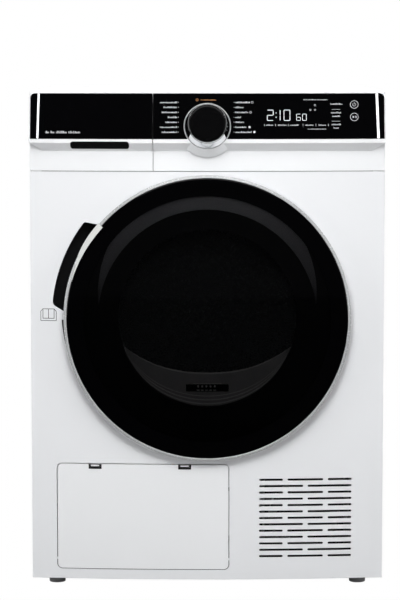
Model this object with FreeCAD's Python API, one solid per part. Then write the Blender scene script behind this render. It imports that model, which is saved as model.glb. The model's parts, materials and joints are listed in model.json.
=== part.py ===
import FreeCAD, Part
import math
import os

from FreeCAD import Vector

# Front-loading heat-pump tumble dryer.  Millimetres, +Z up, the front looks along -Y.
# The origin lies under the centre of the outer box.  Heights are counted from a datum that the
# feet hold LIFT above the floor; save() moves every piece up by it.

# ---- driving dimensions -------------------------------------------------------------------
WIDTH = 598.0
HEIGHT = 840.0
LIFT = 8.0
HALF_W = WIDTH / 2
FRONT_MID = -271.0      # front sheet at its most forward, in the middle of the width
FRONT_BOW = 18.0        # the sheet's ends lie this much further back
REAR = 300.0            # outside of the rear sheet
DUCT_DEPTH = 20.0       # the rear air duct stands out by this much
FLOOR_GAP = 10.0        # cabinet's underside above the floor
SHEET = 2.0             # steel panels
WALL = 3.0              # plastic walls
RETURN_END = -231.0     # the front pieces' side returns end here, the side panels begin

CONSOLE_Z = 707.0       # joint between the front sheet and the console
BAND_Z = 740.5          # top of the console's flat lower band
LIP_OUT = 22.0          # the lip stands this much in front of the front sheet
LIP_Z = 755.0           # lower edge of the lip
FACE_Z0 = 761.0         # black face, bottom and top
FACE_Z1 = 837.0
FACE_LEAN = 13.0        # degrees the black face leans back
FACE_INSET = 2.2        # white rim beside the black face
CORNER_R = 8.0          # the console's upper outer corners
MITRE = 25.0            # the lip's underside is cut away slantwise over this end length
DRAWER_EDGE = -91.0     # right-hand edge of the water-tank drawer
JOINT_GAP = 1.0         # visible gap between neighbouring front pieces
TOP_Z0 = 822.0          # underside of the worktop
TOP_FRONT = -262.0      # front edge of the worktop

KNOB_Z = 782.7          # the knob's axis crosses the black face here
KNOB_R = 31.5
SKIRT_R = 38.3          # the knob flares to this at its base
SKIRT_FRONT_R = 32.8
KNOB_LENGTH = 25.0
BEZEL_R = 39.0

DOOR_Z = 459.0
DOOR_R = 242.0
GLASS_R = 236.8
OPENING_R = 205.0       # hole in the front sheet
PORT_R = 195.0          # loading port in the front bulkhead
WINDOW_R = 150.0
DOOR_GAP = 2.5          # between the door's back and the front sheet
RING_FRONT = -289.0
HINGE_X = 226.0
HINGE_Y = -280.0
PIN_R = 3.0
RUNNING = 0.05          # radial play of a shaft in its bearing
CLEAR = 0.3             # gap between curved faces that move past each other

POCKET_R = 263.0        # finger pocket's outer edge, counted from the door's centre
POCKET_R_IN = 222.0
POCKET_TOP = (142.0, 136.5)     # degrees of the upper end's outer and inner corner
POCKET_LOW = (175.3, 180.5)     # the same for the lower end
LATCH_X = -222.0
LATCH_Z = 420.0

DRUM_Z = 474.0
DRUM_R = 260.0
DRUM_Y0 = -185.0
DRUM_Y1 = 206.0
SHAFT_R = 12.0
BULKHEAD_Y = -200.0
REAR_BULKHEAD_Y = 215.0

BELT_Y0 = 14.0
BELT_Y1 = 32.0
BELT_T = 3.0
MOTOR_X = 70.0
MOTOR_Z = 110.0
PULLEY_R = 15.0
ROLLER_R = 20.0
ROLLER_ANGLE = 55.0

HATCH = (-256.6, 37.3, 26.5, 209.5)
HATCH_GAP = 1.2
HATCH_PIN_Z = 44.0      # the pins' height, their depth behind the flap's front and radius
HATCH_PIN_DEPTH = 5.0
HATCH_PIN_R = 2.0
HATCH_LATCH_X = (-191.0, -38.5)
GRILLE_X = (88.2, 245.7)
GRILLE_Z0 = 48.0
GRILLE_PITCH = 11.0
GRILLE_ROWS = 13
SLOT_H = 3.8

TANK = (-280.0, -104.0, -251.5, 190.0, 742.0, 816.0)
GRIP_X = (-229.6, -130.8)

FOOT_X = 260.0
FOOT_FRONT = -200.0
FOOT_REAR = 265.0
FOOT_STEM = 5.0
FOOT_R = 14.0

# hinges and locks
HINGE_LEVELS = (DOOR_Z - 31.0, DOOR_Z + 31.0)
SHANK_X = 205.0
COVER_LOCK_X = (-226.0, 6.0)
COVER_LOCK_Z = 120.0

# back of the cabinet
INLET = (235.0, 130.0)
DUCT_BOX = (-210.0, 210.0, 250.0, 690.0)

# flared boss behind the knob
BOSS_DEPTH = 20.0
BOSS_BACK_R = 49.0
SPINDLE_R = 3.0

# door glass and frame
DOME = 14.0
PANE = 4.0
FRAME_FRONT = RING_FRONT + 3.6
SPIGOT_BACK = -240.0

# lint filter and rollers
FILTER_HALF = 70.0
FILTER_Y0 = -218.7
FILTER_Y1 = -205.3
FILTER_TOP = 338.0
AXLE_R = 4.0

# drive
ROTOR_R = 36.0
MOTOR_SHAFT_R = 7.0
FAN_R = 78.0
FAN_Y0 = 178.0
FAN_Y1 = 208.0
IDLER_R = 16.0
ARM_REACH = (-46.0, -52.0)

# heat pump and cooling fan
EXCHANGER_X = (-240.0, 20.0)
COMPRESSOR = (205.0, 75.0)
FAN_X = (GRILLE_X[0] + GRILLE_X[1]) / 2
COOL_Z = 112.0
COOL_Y0 = -216.0
BOW_R = (HALF_W ** 2 + FRONT_BOW ** 2) / (2 * FRONT_BOW)

os.makedirs("parts", exist_ok=True)


# ---- helpers ------------------------------------------------------------------------------
def save(name, *solids):
    shape = solids[0] if len(solids) == 1 else Part.makeCompound(list(solids))
    shape.translate(Vector(0, 0, LIFT))
    shape.exportStep(f"parts/{name}.step")


def box(x0, x1, y0, y1, z0, z1):
    return Part.makeBox(x1 - x0, y1 - y0, z1 - z0, Vector(x0, y0, z0))


def cyl_y(x, z, r, y0, y1):
    return Part.makeCylinder(r, y1 - y0, Vector(x, y0, z), Vector(0, 1, 0))


def cyl_z(x, y, r, z0, z1):
    return Part.makeCylinder(r, z1 - z0, Vector(x, y, z0), Vector(0, 0, 1))


def ring_y(x, z, r_out, r_in, y0, y1):
    return cyl_y(x, z, r_out, y0, y1).cut(cyl_y(x, z, r_in, y0 - 1, y1 + 1))


def one(shape):
    """The single solid of a boolean result."""
    shape = shape.removeSplitter()
    solids = shape.Solids
    return max(solids, key=lambda s: s.Volume)


def bow_y(x, y_mid):
    """Depth of a bowed front surface at x, when it lies at y_mid in the middle."""
    return y_mid + BOW_R - math.sqrt(BOW_R ** 2 - x ** 2)


def bow_arc(x0, x1, y_mid, z):
    xm = (x0 + x1) / 2
    ends = [Vector(x, bow_y(x, y_mid), z) for x in (x0, xm, x1)]
    return Part.Arc(*ends).toShape()


def bowed_slab(y_mid, thick, x0, x1, z0, z1):
    front = bow_arc(x0, x1, y_mid, z0)
    back = bow_arc(x0, x1, y_mid + thick, z0)
    left = Part.makeLine(front.Vertexes[0].Point, back.Vertexes[0].Point)
    right = Part.makeLine(front.Vertexes[1].Point, back.Vertexes[1].Point)
    face = Part.Face(Part.Wire([front, right, back, left]))
    return face.extrude(Vector(0, 0, z1 - z0))


def behind_bow(y_mid, x0, x1, z0, z1, y_end=0.0):
    """Everything behind a bowed surface, down to the plane y_end."""
    front = bow_arc(x0, x1, y_mid, z0)
    a = Vector(x1, y_end, z0)
    b = Vector(x0, y_end, z0)
    edges = [front, Part.makeLine(front.Vertexes[1].Point, a), Part.makeLine(a, b),
             Part.makeLine(b, front.Vertexes[0].Point)]
    return Part.Face(Part.Wire(edges)).extrude(Vector(0, 0, z1 - z0))


def bowed_profile(points, x0, x1):
    """A depth-height outline swept along the front's bow between two widths."""
    centre = Vector(0, FRONT_MID + BOW_R, 0)
    corners = [Vector(0, y, z) for y, z in points]
    face = Part.Face(Part.makePolygon(corners + corners[:1]))
    sweep = math.degrees(math.asin(HALF_W / BOW_R)) + 1.0
    face.rotate(centre, Vector(0, 0, 1), -sweep)
    solid = face.revolve(centre, Vector(0, 0, 1), 2 * sweep)
    return solid.common(box(x0, x1, -400, 0, 0, HEIGHT + 10))


def turned(points, x=0.0, z=DOOR_Z):
    """A radius-depth outline turned about an axis along Y."""
    corners = [Vector(x + r, y, z) for r, y in points]
    face = Part.Face(Part.makePolygon(corners + corners[:1]))
    return face.revolve(Vector(x, 0, z), Vector(0, 1, 0), 360)


def rounded_plate(x0, x1, y0, y1, z0, z1, r):
    """A plate in the X-Z plane with round corners."""
    plate = box(x0, x1, y0, y1, z0, z1)
    upright = [e for e in plate.Edges if abs(e.tangentAt(e.FirstParameter).y) > 0.9]
    return plate.makeFillet(r, upright)


def pocket_block(grow, y0, y1):
    """The finger pocket's outline, widened all round: a band about the door's centre."""
    r_out = POCKET_R + grow
    r_in = POCKET_R_IN - grow
    spread = math.degrees(grow / POCKET_R)
    top, top_in = (a - spread for a in POCKET_TOP)
    low, low_in = (a + spread for a in POCKET_LOW)

    def at(r, angle):
        a = math.radians(angle)
        return Vector(r * math.cos(a), y0, DOOR_Z + r * math.sin(a))

    outer = Part.Arc(at(r_out, top), at(r_out, (top + low) / 2), at(r_out, low)).toShape()
    lower_end = Part.makeLine(at(r_out, low), at(r_in, low_in))
    inner = Part.Arc(at(r_in, low_in), at(r_in, (top_in + low_in) / 2), at(r_in, top_in)).toShape()
    upper_end = Part.makeLine(at(r_in, top_in), at(r_out, top))
    outline = Part.Wire([outer, lower_end, inner, upper_end])
    block = Part.Face(outline).extrude(Vector(0, y1 - y0, 0))
    for angle, radius in ((top, 5.0), (low, 10.0)):
        spot = at(r_out, angle)
        corner = [e for e in block.Edges if abs(e.tangentAt(e.FirstParameter).y) > 0.9
                  and math.hypot(e.CenterOfMass.x - spot.x, e.CenterOfMass.z - spot.z) < 1]
        block = block.makeFillet(radius, corner)
    return block


def pipe(points, r):
    """A tube along straight runs joined by tangent arcs."""
    pts = [Vector(*p) for p in points]
    edges = []
    start = pts[0]
    for a, b, c in zip(pts, pts[1:], pts[2:]):
        u = (a - b).normalize()
        v = (c - b).normalize()
        turn = math.pi - u.getAngle(v)
        trim = 0.4 * min((a - b).Length, (c - b).Length)
        radius = trim / math.tan(turn / 2)
        p = b + u * trim
        q = b + v * trim
        half = (u + v).normalize()
        middle = b + half * (radius / math.cos(turn / 2) - radius)
        edges.append(Part.makeLine(start, p))
        edges.append(Part.Arc(p, middle, q).toShape())
        start = q
    edges.append(Part.makeLine(start, pts[-1]))
    wire = Part.Wire(edges)
    section = Part.Wire(Part.makeCircle(r, pts[0], pts[1] - pts[0]))
    return wire.makePipeShell([section], True, True)


# ---- cabinet ------------------------------------------------------------------------------
def side_panel(sign):
    x0, x1 = sorted((sign * HALF_W, sign * (HALF_W - SHEET)))
    panel = box(x0, x1, RETURN_END + 0.5, REAR - SHEET, FLOOR_GAP, TOP_Z0)
    inner = sign * (HALF_W - SHEET)
    flange_x = sorted((inner, inner - sign * 14))
    front_flange = box(*flange_x, RETURN_END + 0.5, RETURN_END + 0.5 + SHEET, 20, TOP_Z0)
    rear_flange = box(*flange_x, REAR - 2 * SHEET, REAR - SHEET, 20, TOP_Z0)
    return one(panel.fuse([front_flange, rear_flange]))


def base_pan():
    half = 282.0
    y0, y1 = -222.0, 292.0
    rim = 62.0
    pan = box(-half, half, y0, y1, FLOOR_GAP, rim)
    pan = pan.cut(box(-half + WALL, half - WALL, y0 + WALL, y1 - WALL, FLOOR_GAP + 6, rim + 1))
    for x in (-FOOT_X, FOOT_X):
        for y in (FOOT_FRONT, FOOT_REAR):
            pan = pan.fuse(cyl_z(x, y, 12, FLOOR_GAP, 46))
            pan = pan.cut(cyl_z(x, y, FOOT_STEM + RUNNING, FLOOR_GAP - 1, 47))
    return one(pan)


def screw_foot(x, y):
    pad = cyl_z(x, y, FOOT_R, -LIFT, FLOOR_GAP - 3.0)
    rims = [e for e in pad.Edges if e.Length > 2 * FOOT_R and len(e.Vertexes) == 1]
    pad = pad.makeFillet(1.5, rims)
    return one(pad.fuse(cyl_z(x, y, FOOT_STEM, 0, 44)))


def front_panel():
    sheet = bowed_slab(FRONT_MID, SHEET, -HALF_W, HALF_W, FLOOR_GAP, CONSOLE_Z - JOINT_GAP)
    end_y = bow_y(HALF_W, FRONT_MID)
    for sign in (-1, 1):
        xs = sorted((sign * HALF_W, sign * (HALF_W - SHEET)))
        sheet = sheet.fuse(box(*xs, end_y, RETURN_END, FLOOR_GAP, CONSOLE_Z - JOINT_GAP))
    y0, y1 = -300, -200
    sheet = sheet.cut(cyl_y(0, DOOR_Z, OPENING_R, y0, y1))
    sheet = sheet.cut(pocket_block(0, y0, -240))
    hx0, hx1, hz0, hz1 = HATCH
    sheet = sheet.cut(rounded_plate(hx0, hx1, y0, y1, hz0, hz1, 9))
    sheet = sheet.fuse([hatch_lug(-1), hatch_lug(1)])
    sheet = sheet.cut(Part.makeCompound(grille_slots(y0, y1)))
    for z in HINGE_LEVELS:
        sheet = sheet.cut(box(195, 214, y0, y1, z - 8, z + 8))
    sheet = sheet.cut(box(LATCH_X - 12, LATCH_X + 12, y0, y1, LATCH_Z - 9, LATCH_Z + 9))
    return one(sheet)


def grille_slots(y0, y1):
    """Rows of round-ended slots, three to a row and two to a row in turn."""
    left, right = GRILLE_X
    thirds = ((left, left + 40.3), (left + 48.4, right - 48.4), (right - 40.3, right))
    middle = (left + right) / 2
    halves = ((left, middle - 3.9), (middle + 3.9, right))
    slots = []
    for row in range(GRILLE_ROWS):
        z = GRILLE_Z0 + SLOT_H / 2 + row * GRILLE_PITCH
        for x0, x1 in thirds if row % 2 == 0 else halves:
            r = SLOT_H / 2
            bar = box(x0 + r, x1 - r, y0, y1, z - r, z + r)
            slots.append(one(bar.fuse([cyl_y(x0 + r, z, r, y0, y1), cyl_y(x1 - r, z, r, y0, y1)])))
    return slots


def handle_pocket():
    """Tray behind the slot at the door's edge, deep enough for fingertips."""
    back = -224.0
    shell = pocket_block(2.5, -300, back).cut(pocket_block(0, -301, back - 2.5))
    limit = behind_bow(FRONT_MID + SHEET, -HALF_W, HALF_W, 300, 700)
    return one(shell.common(limit))


def hatch_ends():
    """The flap's two lower hinge points and the unit vector from left to right."""
    x0, x1 = HATCH[0] + HATCH_GAP, HATCH[1] - HATCH_GAP
    left = Vector(x0, bow_y(x0, FRONT_MID) + HATCH_PIN_DEPTH, HATCH_PIN_Z)
    right = Vector(x1, bow_y(x1, FRONT_MID) + HATCH_PIN_DEPTH, HATCH_PIN_Z)
    return left, right, (right - left).normalize()


def hatch_lug(side):
    """Ear bent back from the front sheet's opening, with the hole for a hinge pin."""
    left, right, along = hatch_ends()
    end, out = (left, along * -1) if side < 0 else (right, along)
    x = end.x + side * 4.2
    y = end.y - HATCH_PIN_DEPTH + 1.2
    ear = box(x - 1, x + 1, y, end.y + 5, HATCH_PIN_Z - 5, HATCH_PIN_Z + 5)
    return ear.cut(Part.makeCylinder(HATCH_PIN_R + RUNNING, 9, end, out))


def hatch_flap():
    hx0, hx1, hz0, hz1 = HATCH
    gap = HATCH_GAP
    flap = bowed_slab(FRONT_MID, WALL, hx0 + gap, hx1 - gap, hz0 + gap, hz1 - gap)
    frame = rounded_plate(hx0 + gap, hx1 - gap, -300, -200, hz0 + gap, hz1 - gap, 8)
    flap = flap.common(frame)
    for x in HATCH_LATCH_X:
        flap = flap.cut(box(x - 10.2, x + 10.2, -300, -200, hz1 - gap - 7.2, hz1))
    left, right, along = hatch_ends()
    for end, inward in ((left, along), (right, along * -1)):
        flap = flap.fuse(Part.makeCylinder(3.4, 9, end, inward))
        flap = flap.fuse(Part.makeCylinder(HATCH_PIN_R, 9, end - inward * 6.5, inward))
    return one(flap)


def hatch_latch(x):
    """Sprung tab: a proud finger plate, its stem through the flap's notch and a rear stop."""
    front = bow_y(x, FRONT_MID)
    top = HATCH[3] - HATCH_GAP
    plate = box(x - 8.5, x + 8.5, front - 2.2, front - 1.0, top - 5.5, top)
    stem = box(x - 7, x + 7, front - 1.2, front + 5.6, top - 2.2, top - 0.4)
    stop = box(x - 14, x + 14, front + 4.2, front + 5.6, top - 10, top - 0.4)
    return one(plate.fuse([stem, stop]))


def exchanger_cover():
    x0, x1 = -248.0, 28.0
    plate = rounded_plate(x0, x1, -236, -230, 44, 196, 8)
    for z in (80, 120, 160):
        plate = plate.cut(box(x0 + 40, x1 - 40, -237, -234, z - 2, z + 2))
    for x in COVER_LOCK_X:
        plate = plate.cut(cyl_y(x, COVER_LOCK_Z, 4.0 + RUNNING, -240, -220))
    return one(plate)


def cover_lock(x):
    bar = rounded_plate(x - 5, x + 5, -246, -236.4, COVER_LOCK_Z - 16, COVER_LOCK_Z + 16, 4)
    bolt = cyl_y(x, COVER_LOCK_Z, 4.0, -240, -226)
    cam = box(x - 4, x + 4, -229.5, -226, COVER_LOCK_Z - 13, COVER_LOCK_Z + 13)
    return one(bar.fuse([bolt, cam]))


def worktop():
    top = behind_bow(TOP_FRONT, -HALF_W, HALF_W, TOP_Z0, HEIGHT, REAR - 1)
    edges = [e for e in top.Edges if e.BoundBox.ZMin > HEIGHT - 1]
    return one(top.makeFillet(2.5, edges))


def rear_panel():
    inset = HALF_W - 1.0
    plate = box(-inset, inset, REAR - SHEET + 0.2, REAR, FLOOR_GAP, TOP_Z0 - 0.5)
    for row in range(8):
        z = 60 + row * 14
        for x in (-225, -125):
            plate = plate.cut(rounded_plate(x - 35, x + 35, REAR - 5, REAR + 5, z, z + 5, 2.4))
    plate = plate.cut(cyl_y(INLET[0], INLET[1], 9, REAR - 5, REAR + 5))
    plate = plate.cut(cyl_y(0, DRUM_Z, 150, REAR - 5, REAR + 5))
    return one(plate)


def rear_duct_cover():
    x0, x1, z0, z1 = DUCT_BOX
    shell = rounded_plate(x0, x1, REAR, REAR + DUCT_DEPTH, z0, z1, 60)
    rim = [e for e in shell.Edges if e.BoundBox.YMin > REAR + DUCT_DEPTH - 1]
    shell = shell.makeFillet(10, rim)
    hollow = rounded_plate(x0 + 3, x1 - 3, REAR - 5, REAR + DUCT_DEPTH - 3, z0 + 3, z1 - 3, 57)
    edge = [e for e in hollow.Edges if e.BoundBox.YMin > REAR + DUCT_DEPTH - 4]
    hollow = hollow.makeFillet(8, edge)
    flange = rounded_plate(x0 - 10, x1 + 10, REAR, REAR + 2, z0 - 10, z1 + 10, 68)
    body = shell.fuse(flange).cut(hollow)
    for x, z in duct_screws():
        body = body.cut(cyl_y(x, z, 2.2, REAR - 5, REAR + 5))
    return one(body)


def duct_screws():
    x0, x1, z0, z1 = DUCT_BOX
    places = []
    for x in (x0 - 5, x1 + 5):
        for z in (z0 + 90, DRUM_Z - 4, z1 - 90):
            places.append((x, z))
    return places


def screw(x, z, y):
    head = cyl_y(x, z, 4.2, y, y + 2.2)
    shank = cyl_y(x, z, 2.0, y - 6, y)
    slot = box(x - 3, x + 3, y + 1.4, y + 3, z - 0.5, z + 0.5)
    cross = box(x - 0.5, x + 0.5, y + 1.4, y + 3, z - 3, z + 3)
    return one(head.fuse(shank).cut(slot).cut(cross))


def cabinet_screws():
    heads = [screw(x, z, REAR + 2) for x, z in duct_screws()]
    for x in (-270, -90, 90, 270):
        head = screw(x, 790, REAR)
        heads.append(head.cut(box(x - 3, x + 3, REAR - 8, REAR, 780, 800)))
    trimmed = []
    for head in heads:
        trimmed.append(one(head.cut(box(-300, 300, REAR - 8, REAR, 0, 900))))
    return trimmed


# ---- console and water-tank drawer ---------------------------------------------------------
def face_y(z):
    """Depth of the black face at a height, in the middle of the width."""
    lean = math.tan(math.radians(FACE_LEAN))
    return FRONT_MID - LIP_OUT + 0.6 + (z - FACE_Z0) * lean


def fascia_outline():
    lip = FRONT_MID - LIP_OUT
    back = TOP_FRONT - 2
    outer = [(FRONT_MID, CONSOLE_Z), (FRONT_MID, BAND_Z), (FRONT_MID - 4.5, BAND_Z + 3.6),
             (FRONT_MID - 13, BAND_Z + 8.4), (lip + 1.5, LIP_Z - 1.5), (lip, LIP_Z),
             (lip, FACE_Z0), (face_y(FACE_Z0) + WALL + 0.1, FACE_Z0),
             (face_y(FACE_Z1) + WALL + 0.1, FACE_Z1), (back, FACE_Z1), (back, CONSOLE_Z)]
    inner = [(FRONT_MID + WALL, CONSOLE_Z - 5), (FRONT_MID + WALL, BAND_Z + 1.4),
             (FRONT_MID - 3, BAND_Z + 6.2), (FRONT_MID - 12, BAND_Z + 11.4),
             (lip + WALL, LIP_Z + 1), (lip + WALL, FACE_Z0 - WALL),
             (face_y(FACE_Z0) + 2 * WALL + 0.4, FACE_Z0 - WALL),
             (face_y(FACE_Z1) + 2 * WALL - 0.4, FACE_Z1 - WALL),
             (back + 5, FACE_Z1 - WALL), (back + 5, CONSOLE_Z - 5)]
    return outer, inner


def fascia(x0, x1, wall_side):
    """White front shell between two widths, with an end wall on the cabinet's side."""
    outer, inner = fascia_outline()
    block = bowed_profile(outer, x0, x1)
    end = wall_side * HALF_W
    inner_end = end - wall_side * WALL
    if wall_side > 0:
        hollow = bowed_profile(inner, x0 - 5, inner_end)
    else:
        hollow = bowed_profile(inner, inner_end, x1 + 5)
    shell = block.cut(hollow)
    xs = sorted((end, end - wall_side * WALL))
    side = box(*xs, bow_y(HALF_W, FRONT_MID) + 2, RETURN_END, CONSOLE_Z, TOP_Z0 - 0.5)
    lump = bowed_profile(outer, *sorted((end, end - wall_side * (MITRE + 6))))
    lump = lump.common(box(-400, 400, -330, -200, CONSOLE_Z, LIP_Z + 4))
    lump = lump.cut(behind_bow(FRONT_MID + WALL - 0.5, -HALF_W, HALF_W, 700, 800))
    shell = shell.fuse([side, lump]).cut(mitre(wall_side))
    return shell.common(rounded_plate(-HALF_W, HALF_W, -400, 0, 600, FACE_Z1, CORNER_R))


def mitre(side):
    """What is missing from the lip's underside at its outer end."""
    corners = [Vector(side * (HALF_W - MITRE), -330, BAND_Z - 2),
               Vector(side * (HALF_W + 1), -330, BAND_Z - 2),
               Vector(side * (HALF_W + 1), -330, LIP_Z + 0.3),
               Vector(side * HALF_W, -330, LIP_Z)]
    wedge = Part.Face(Part.makePolygon(corners + corners[:1])).extrude(Vector(0, 120, 0))
    return wedge.cut(behind_bow(FRONT_MID, -HALF_W, HALF_W, BAND_Z - 5, LIP_Z + 5))


def along_knob(distance):
    lean = math.radians(FACE_LEAN)
    normal = Vector(0, -math.cos(lean), math.sin(lean))
    return Vector(0, face_y(KNOB_Z), KNOB_Z) + normal * distance, normal


def knob_cylinder(r, d0, d1):
    start, normal = along_knob(d0)
    return Part.makeCylinder(r, d1 - d0, start, normal)


def boss(r_front, r_back, front, depth):
    start, normal = along_knob(front)
    return Part.makeCone(r_front, r_back, depth, start, normal * -1)


def console_panel():
    shell = fascia(DRAWER_EDGE + JOINT_GAP / 2, HALF_W, 1)
    keep = box(-80, 80, -330, TOP_FRONT - 2, CONSOLE_Z, FACE_Z1 - 6)
    outer = boss(BEZEL_R, BOSS_BACK_R, 0.0, BOSS_DEPTH).common(keep)
    inner = boss(BEZEL_R - WALL, BOSS_BACK_R - WALL, -WALL, BOSS_DEPTH + 12)
    shell = shell.fuse(outer).cut(inner.common(keep.copy()))
    shell = shell.cut(knob_cylinder(6, -30, 5))
    return one(shell)


def black_face(x0, x1):
    """A length of the leaning glass; the console's upper outer corners are round."""
    points = [(face_y(FACE_Z0), FACE_Z0 + 0.3), (face_y(FACE_Z1), FACE_Z1),
              (face_y(FACE_Z1) + WALL, FACE_Z1), (face_y(FACE_Z0) + WALL, FACE_Z0 + 0.3)]
    half = HALF_W - FACE_INSET
    frame = rounded_plate(-half, half, -400, -200, 600, FACE_Z1, CORNER_R)
    return bowed_profile(points, x0, x1).common(frame)


def console_glass():
    glass = black_face(DRAWER_EDGE + JOINT_GAP / 2, HALF_W)
    start, normal = along_knob(-1.2 * WALL)
    slope = (BOSS_BACK_R - BEZEL_R) / BOSS_DEPTH
    hole_back = BEZEL_R + 0.3 + 1.2 * WALL * slope
    hole = boss(BEZEL_R + 0.3 - 4 * slope, hole_back, 4.0, 4.0 + 1.2 * WALL)
    return one(glass.cut(hole))


def control_board():
    board = box(40, 250, -250, -246, 762, 815)
    modules = [box(110, 200, -254, -250, 775, 805), box(215, 240, -256, -250, 770, 800)]
    card = one(board.fuse(modules))
    switch = knob_cylinder(13, -28, -9).cut(knob_cylinder(SPINDLE_R + RUNNING, -40, 0))
    return card, one(switch)


def knob_skirt():
    base, normal = along_knob(1.0)
    flare = Part.makeCone(SKIRT_R, SKIRT_FRONT_R, 17.0, base, normal)
    flare = flare.cut(knob_cylinder(KNOB_R, 7.0, 20.0))
    return one(flare.fuse(knob_cylinder(SPINDLE_R, -24, 2)))


def knob_cap():
    cap = knob_cylinder(KNOB_R, 7.0, KNOB_LENGTH)
    front, normal = along_knob(KNOB_LENGTH)
    rim = [e for e in cap.Edges if len(e.Vertexes) == 1 and (e.CenterOfMass - front).Length < 1]
    return one(cap.makeFillet(3.0, rim))


def drawer_front():
    shell = fascia(-HALF_W, DRAWER_EDGE - JOINT_GAP / 2, -1)
    grip = rounded_plate(GRIP_X[0], GRIP_X[1], -300, -262, 744, 757.0, 5)
    shell = shell.cut(grip)
    rib_front = face_y(778) + 1.6 * WALL
    rib = behind_bow(rib_front, TANK[0] + 30, TANK[1] - 30, 770, 784, TANK[2] - 0.2)
    return one(shell.fuse(rib))


def drawer_glass():
    return one(black_face(-HALF_W, DRAWER_EDGE - JOINT_GAP / 2))


def water_tank():
    x0, x1, y0, y1, z0, z1 = TANK
    tank = box(x0, x1, y0, y1, z0, z1)
    tank = tank.cut(box(x0 + 3, x1 - 3, y0 + 3, y1 - 3, z0 + 3, z1 - 3))
    mouth = box(x0 + 48, x1 - 48, y1 - 76, y1 - 36, z1 - 10, z1 + 2)
    return one(tank.cut(mouth))


def tank_housing():
    x0, x1, _, y1, z0, z1 = TANK
    y0 = -224.0
    gap = 1.5
    tray = box(x0 - gap - WALL, x1 + gap + WALL, y0, y1 + 8 + WALL, z0 - 1 - WALL, z1 - 6)
    room = box(x0 - gap, x1 + gap, y0 - 1, y1 + 8, z0 - 1, z1 + 5)
    return one(tray.cut(room))


# ---- door ---------------------------------------------------------------------------------
def door_limit(solid):
    """Trims a door piece to clear the front sheet, at rest and while it swings."""
    behind = behind_bow(FRONT_MID - DOOR_GAP, -HALF_W, HALF_W, 150, 750)
    core = cyl_y(0, DOOR_Z, 191.0, -300, -200)
    solid = solid.cut(behind.cut(core))
    swing = box(HINGE_X, HALF_W, HINGE_Y, -200, 150, 750)
    keep = cyl_z(HINGE_X, HINGE_Y, 17.5, 150, 750)
    return solid.cut(swing.cut(keep))


def hinge_room(solid):
    """Pockets for the fixed hinge arms, clear over the whole swing."""
    for z in HINGE_LEVELS:
        room = cyl_z(HINGE_X, HINGE_Y, 30.0, z - 8, z + 8)
        solid = solid.cut(room.common(box(150, 300, HINGE_Y - 4.6, -200, z - 8, z + 8)))
    return solid


def door_ring():
    ring = turned([(GLASS_R + 0.3, RING_FRONT), (DOOR_R - 2.5, RING_FRONT),
                   (DOOR_R - 0.7, RING_FRONT + 0.9), (DOOR_R, RING_FRONT + 3), (DOOR_R, -255),
                   (GLASS_R + 0.3, -255)])
    return one(hinge_room(door_limit(ring)))


def door_glass():
    """Domed outer pane with a rounded rim."""
    sphere_r = (GLASS_R ** 2 + DOME ** 2) / (2 * DOME)
    crown = RING_FRONT - 0.5 - DOME
    outer = Part.makeSphere(sphere_r, Vector(0, crown + sphere_r, DOOR_Z))
    inner = Part.makeSphere(sphere_r, Vector(0, crown + PANE + sphere_r, DOOR_Z))
    disc = cyl_y(0, DOOR_Z, GLASS_R, crown - 5, RING_FRONT + 3.5)
    pane = one(disc.common(outer).cut(inner))
    rims = [e for e in pane.Edges if e.Length > 6 * GLASS_R and e.BoundBox.YMax < RING_FRONT]
    return one(pane.makeFillet(1.6, rims))


def door_frame():
    frame = turned([(WINDOW_R + 0.5, FRAME_FRONT), (GLASS_R, FRAME_FRONT), (GLASS_R, -255),
                    (190, -255), (186, SPIGOT_BACK), (WINDOW_R + 14, SPIGOT_BACK),
                    (WINDOW_R + 0.5, SPIGOT_BACK - 4)])
    hollow = turned([(WINDOW_R + 4, FRAME_FRONT + 3), (182, FRAME_FRONT + 3),
                     (182, SPIGOT_BACK - 4), (WINDOW_R + 14, SPIGOT_BACK - 4),
                     (WINDOW_R + 4, SPIGOT_BACK - 7)])
    frame = frame.cut(hollow)
    frame = hinge_room(door_limit(frame))
    frame = frame.cut(cyl_z(HINGE_X, HINGE_Y, PIN_R + RUNNING, DOOR_Z - 52, DOOR_Z + 52))
    lx, lz = LATCH_X, LATCH_Z
    frame = frame.cut(box(lx - 10, lx + 10, -283, -200, lz - 6, lz + 6))
    return one(frame)


def door_window():
    r = WINDOW_R
    bowl = turned([(0, -231.5), (90, -231.5), (112, -234), (r - 10, -245.5), (r, -246),
                   (r, -242.5), (r - 9, -242), (112.5, -230.5), (90, -228), (0, -228)])
    return one(bowl)


def hinge_bracket():
    """Cranked arms, their pin and the plate that screws to the cabinet's front frame."""
    z_low, z_high = HINGE_LEVELS
    y_plate = -252.0
    solids = [box(SHANK_X - 1, 240, y_plate, y_plate + 3, z_low - 16, z_high + 16)]
    for z in HINGE_LEVELS:
        eye = cyl_z(HINGE_X, HINGE_Y, 4.2, z - 6, z + 6)
        reach = box(SHANK_X, HINGE_X, HINGE_Y - 3, HINGE_Y + 3, z - 6, z + 6)
        shank = box(SHANK_X, SHANK_X + 5, HINGE_Y - 3, y_plate + 1, z - 6, z + 6)
        pin = cyl_z(HINGE_X, HINGE_Y, PIN_R, z - 15, z + 15)
        solids += [eye, reach, shank, pin]
    plate = solids[0].fuse(solids[1:])
    for z in (z_low - 11, z_high + 11, DOOR_Z):
        plate = plate.cut(cyl_y(230, z, 2.5, y_plate - 5, y_plate + 5))
    return one(plate)


def latch_hook():
    x, z = LATCH_X, LATCH_Z
    hub = cyl_z(x, -276, 4.0, z - 5, z + 5)
    shank = box(x - 2.5, x + 2.5, -277, -246, z - 5, z + 5)
    nose = box(x - 2.5, x + 5, -250, -245, z - 5, z + 5)
    return one(hub.fuse([shank, nose]))


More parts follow.
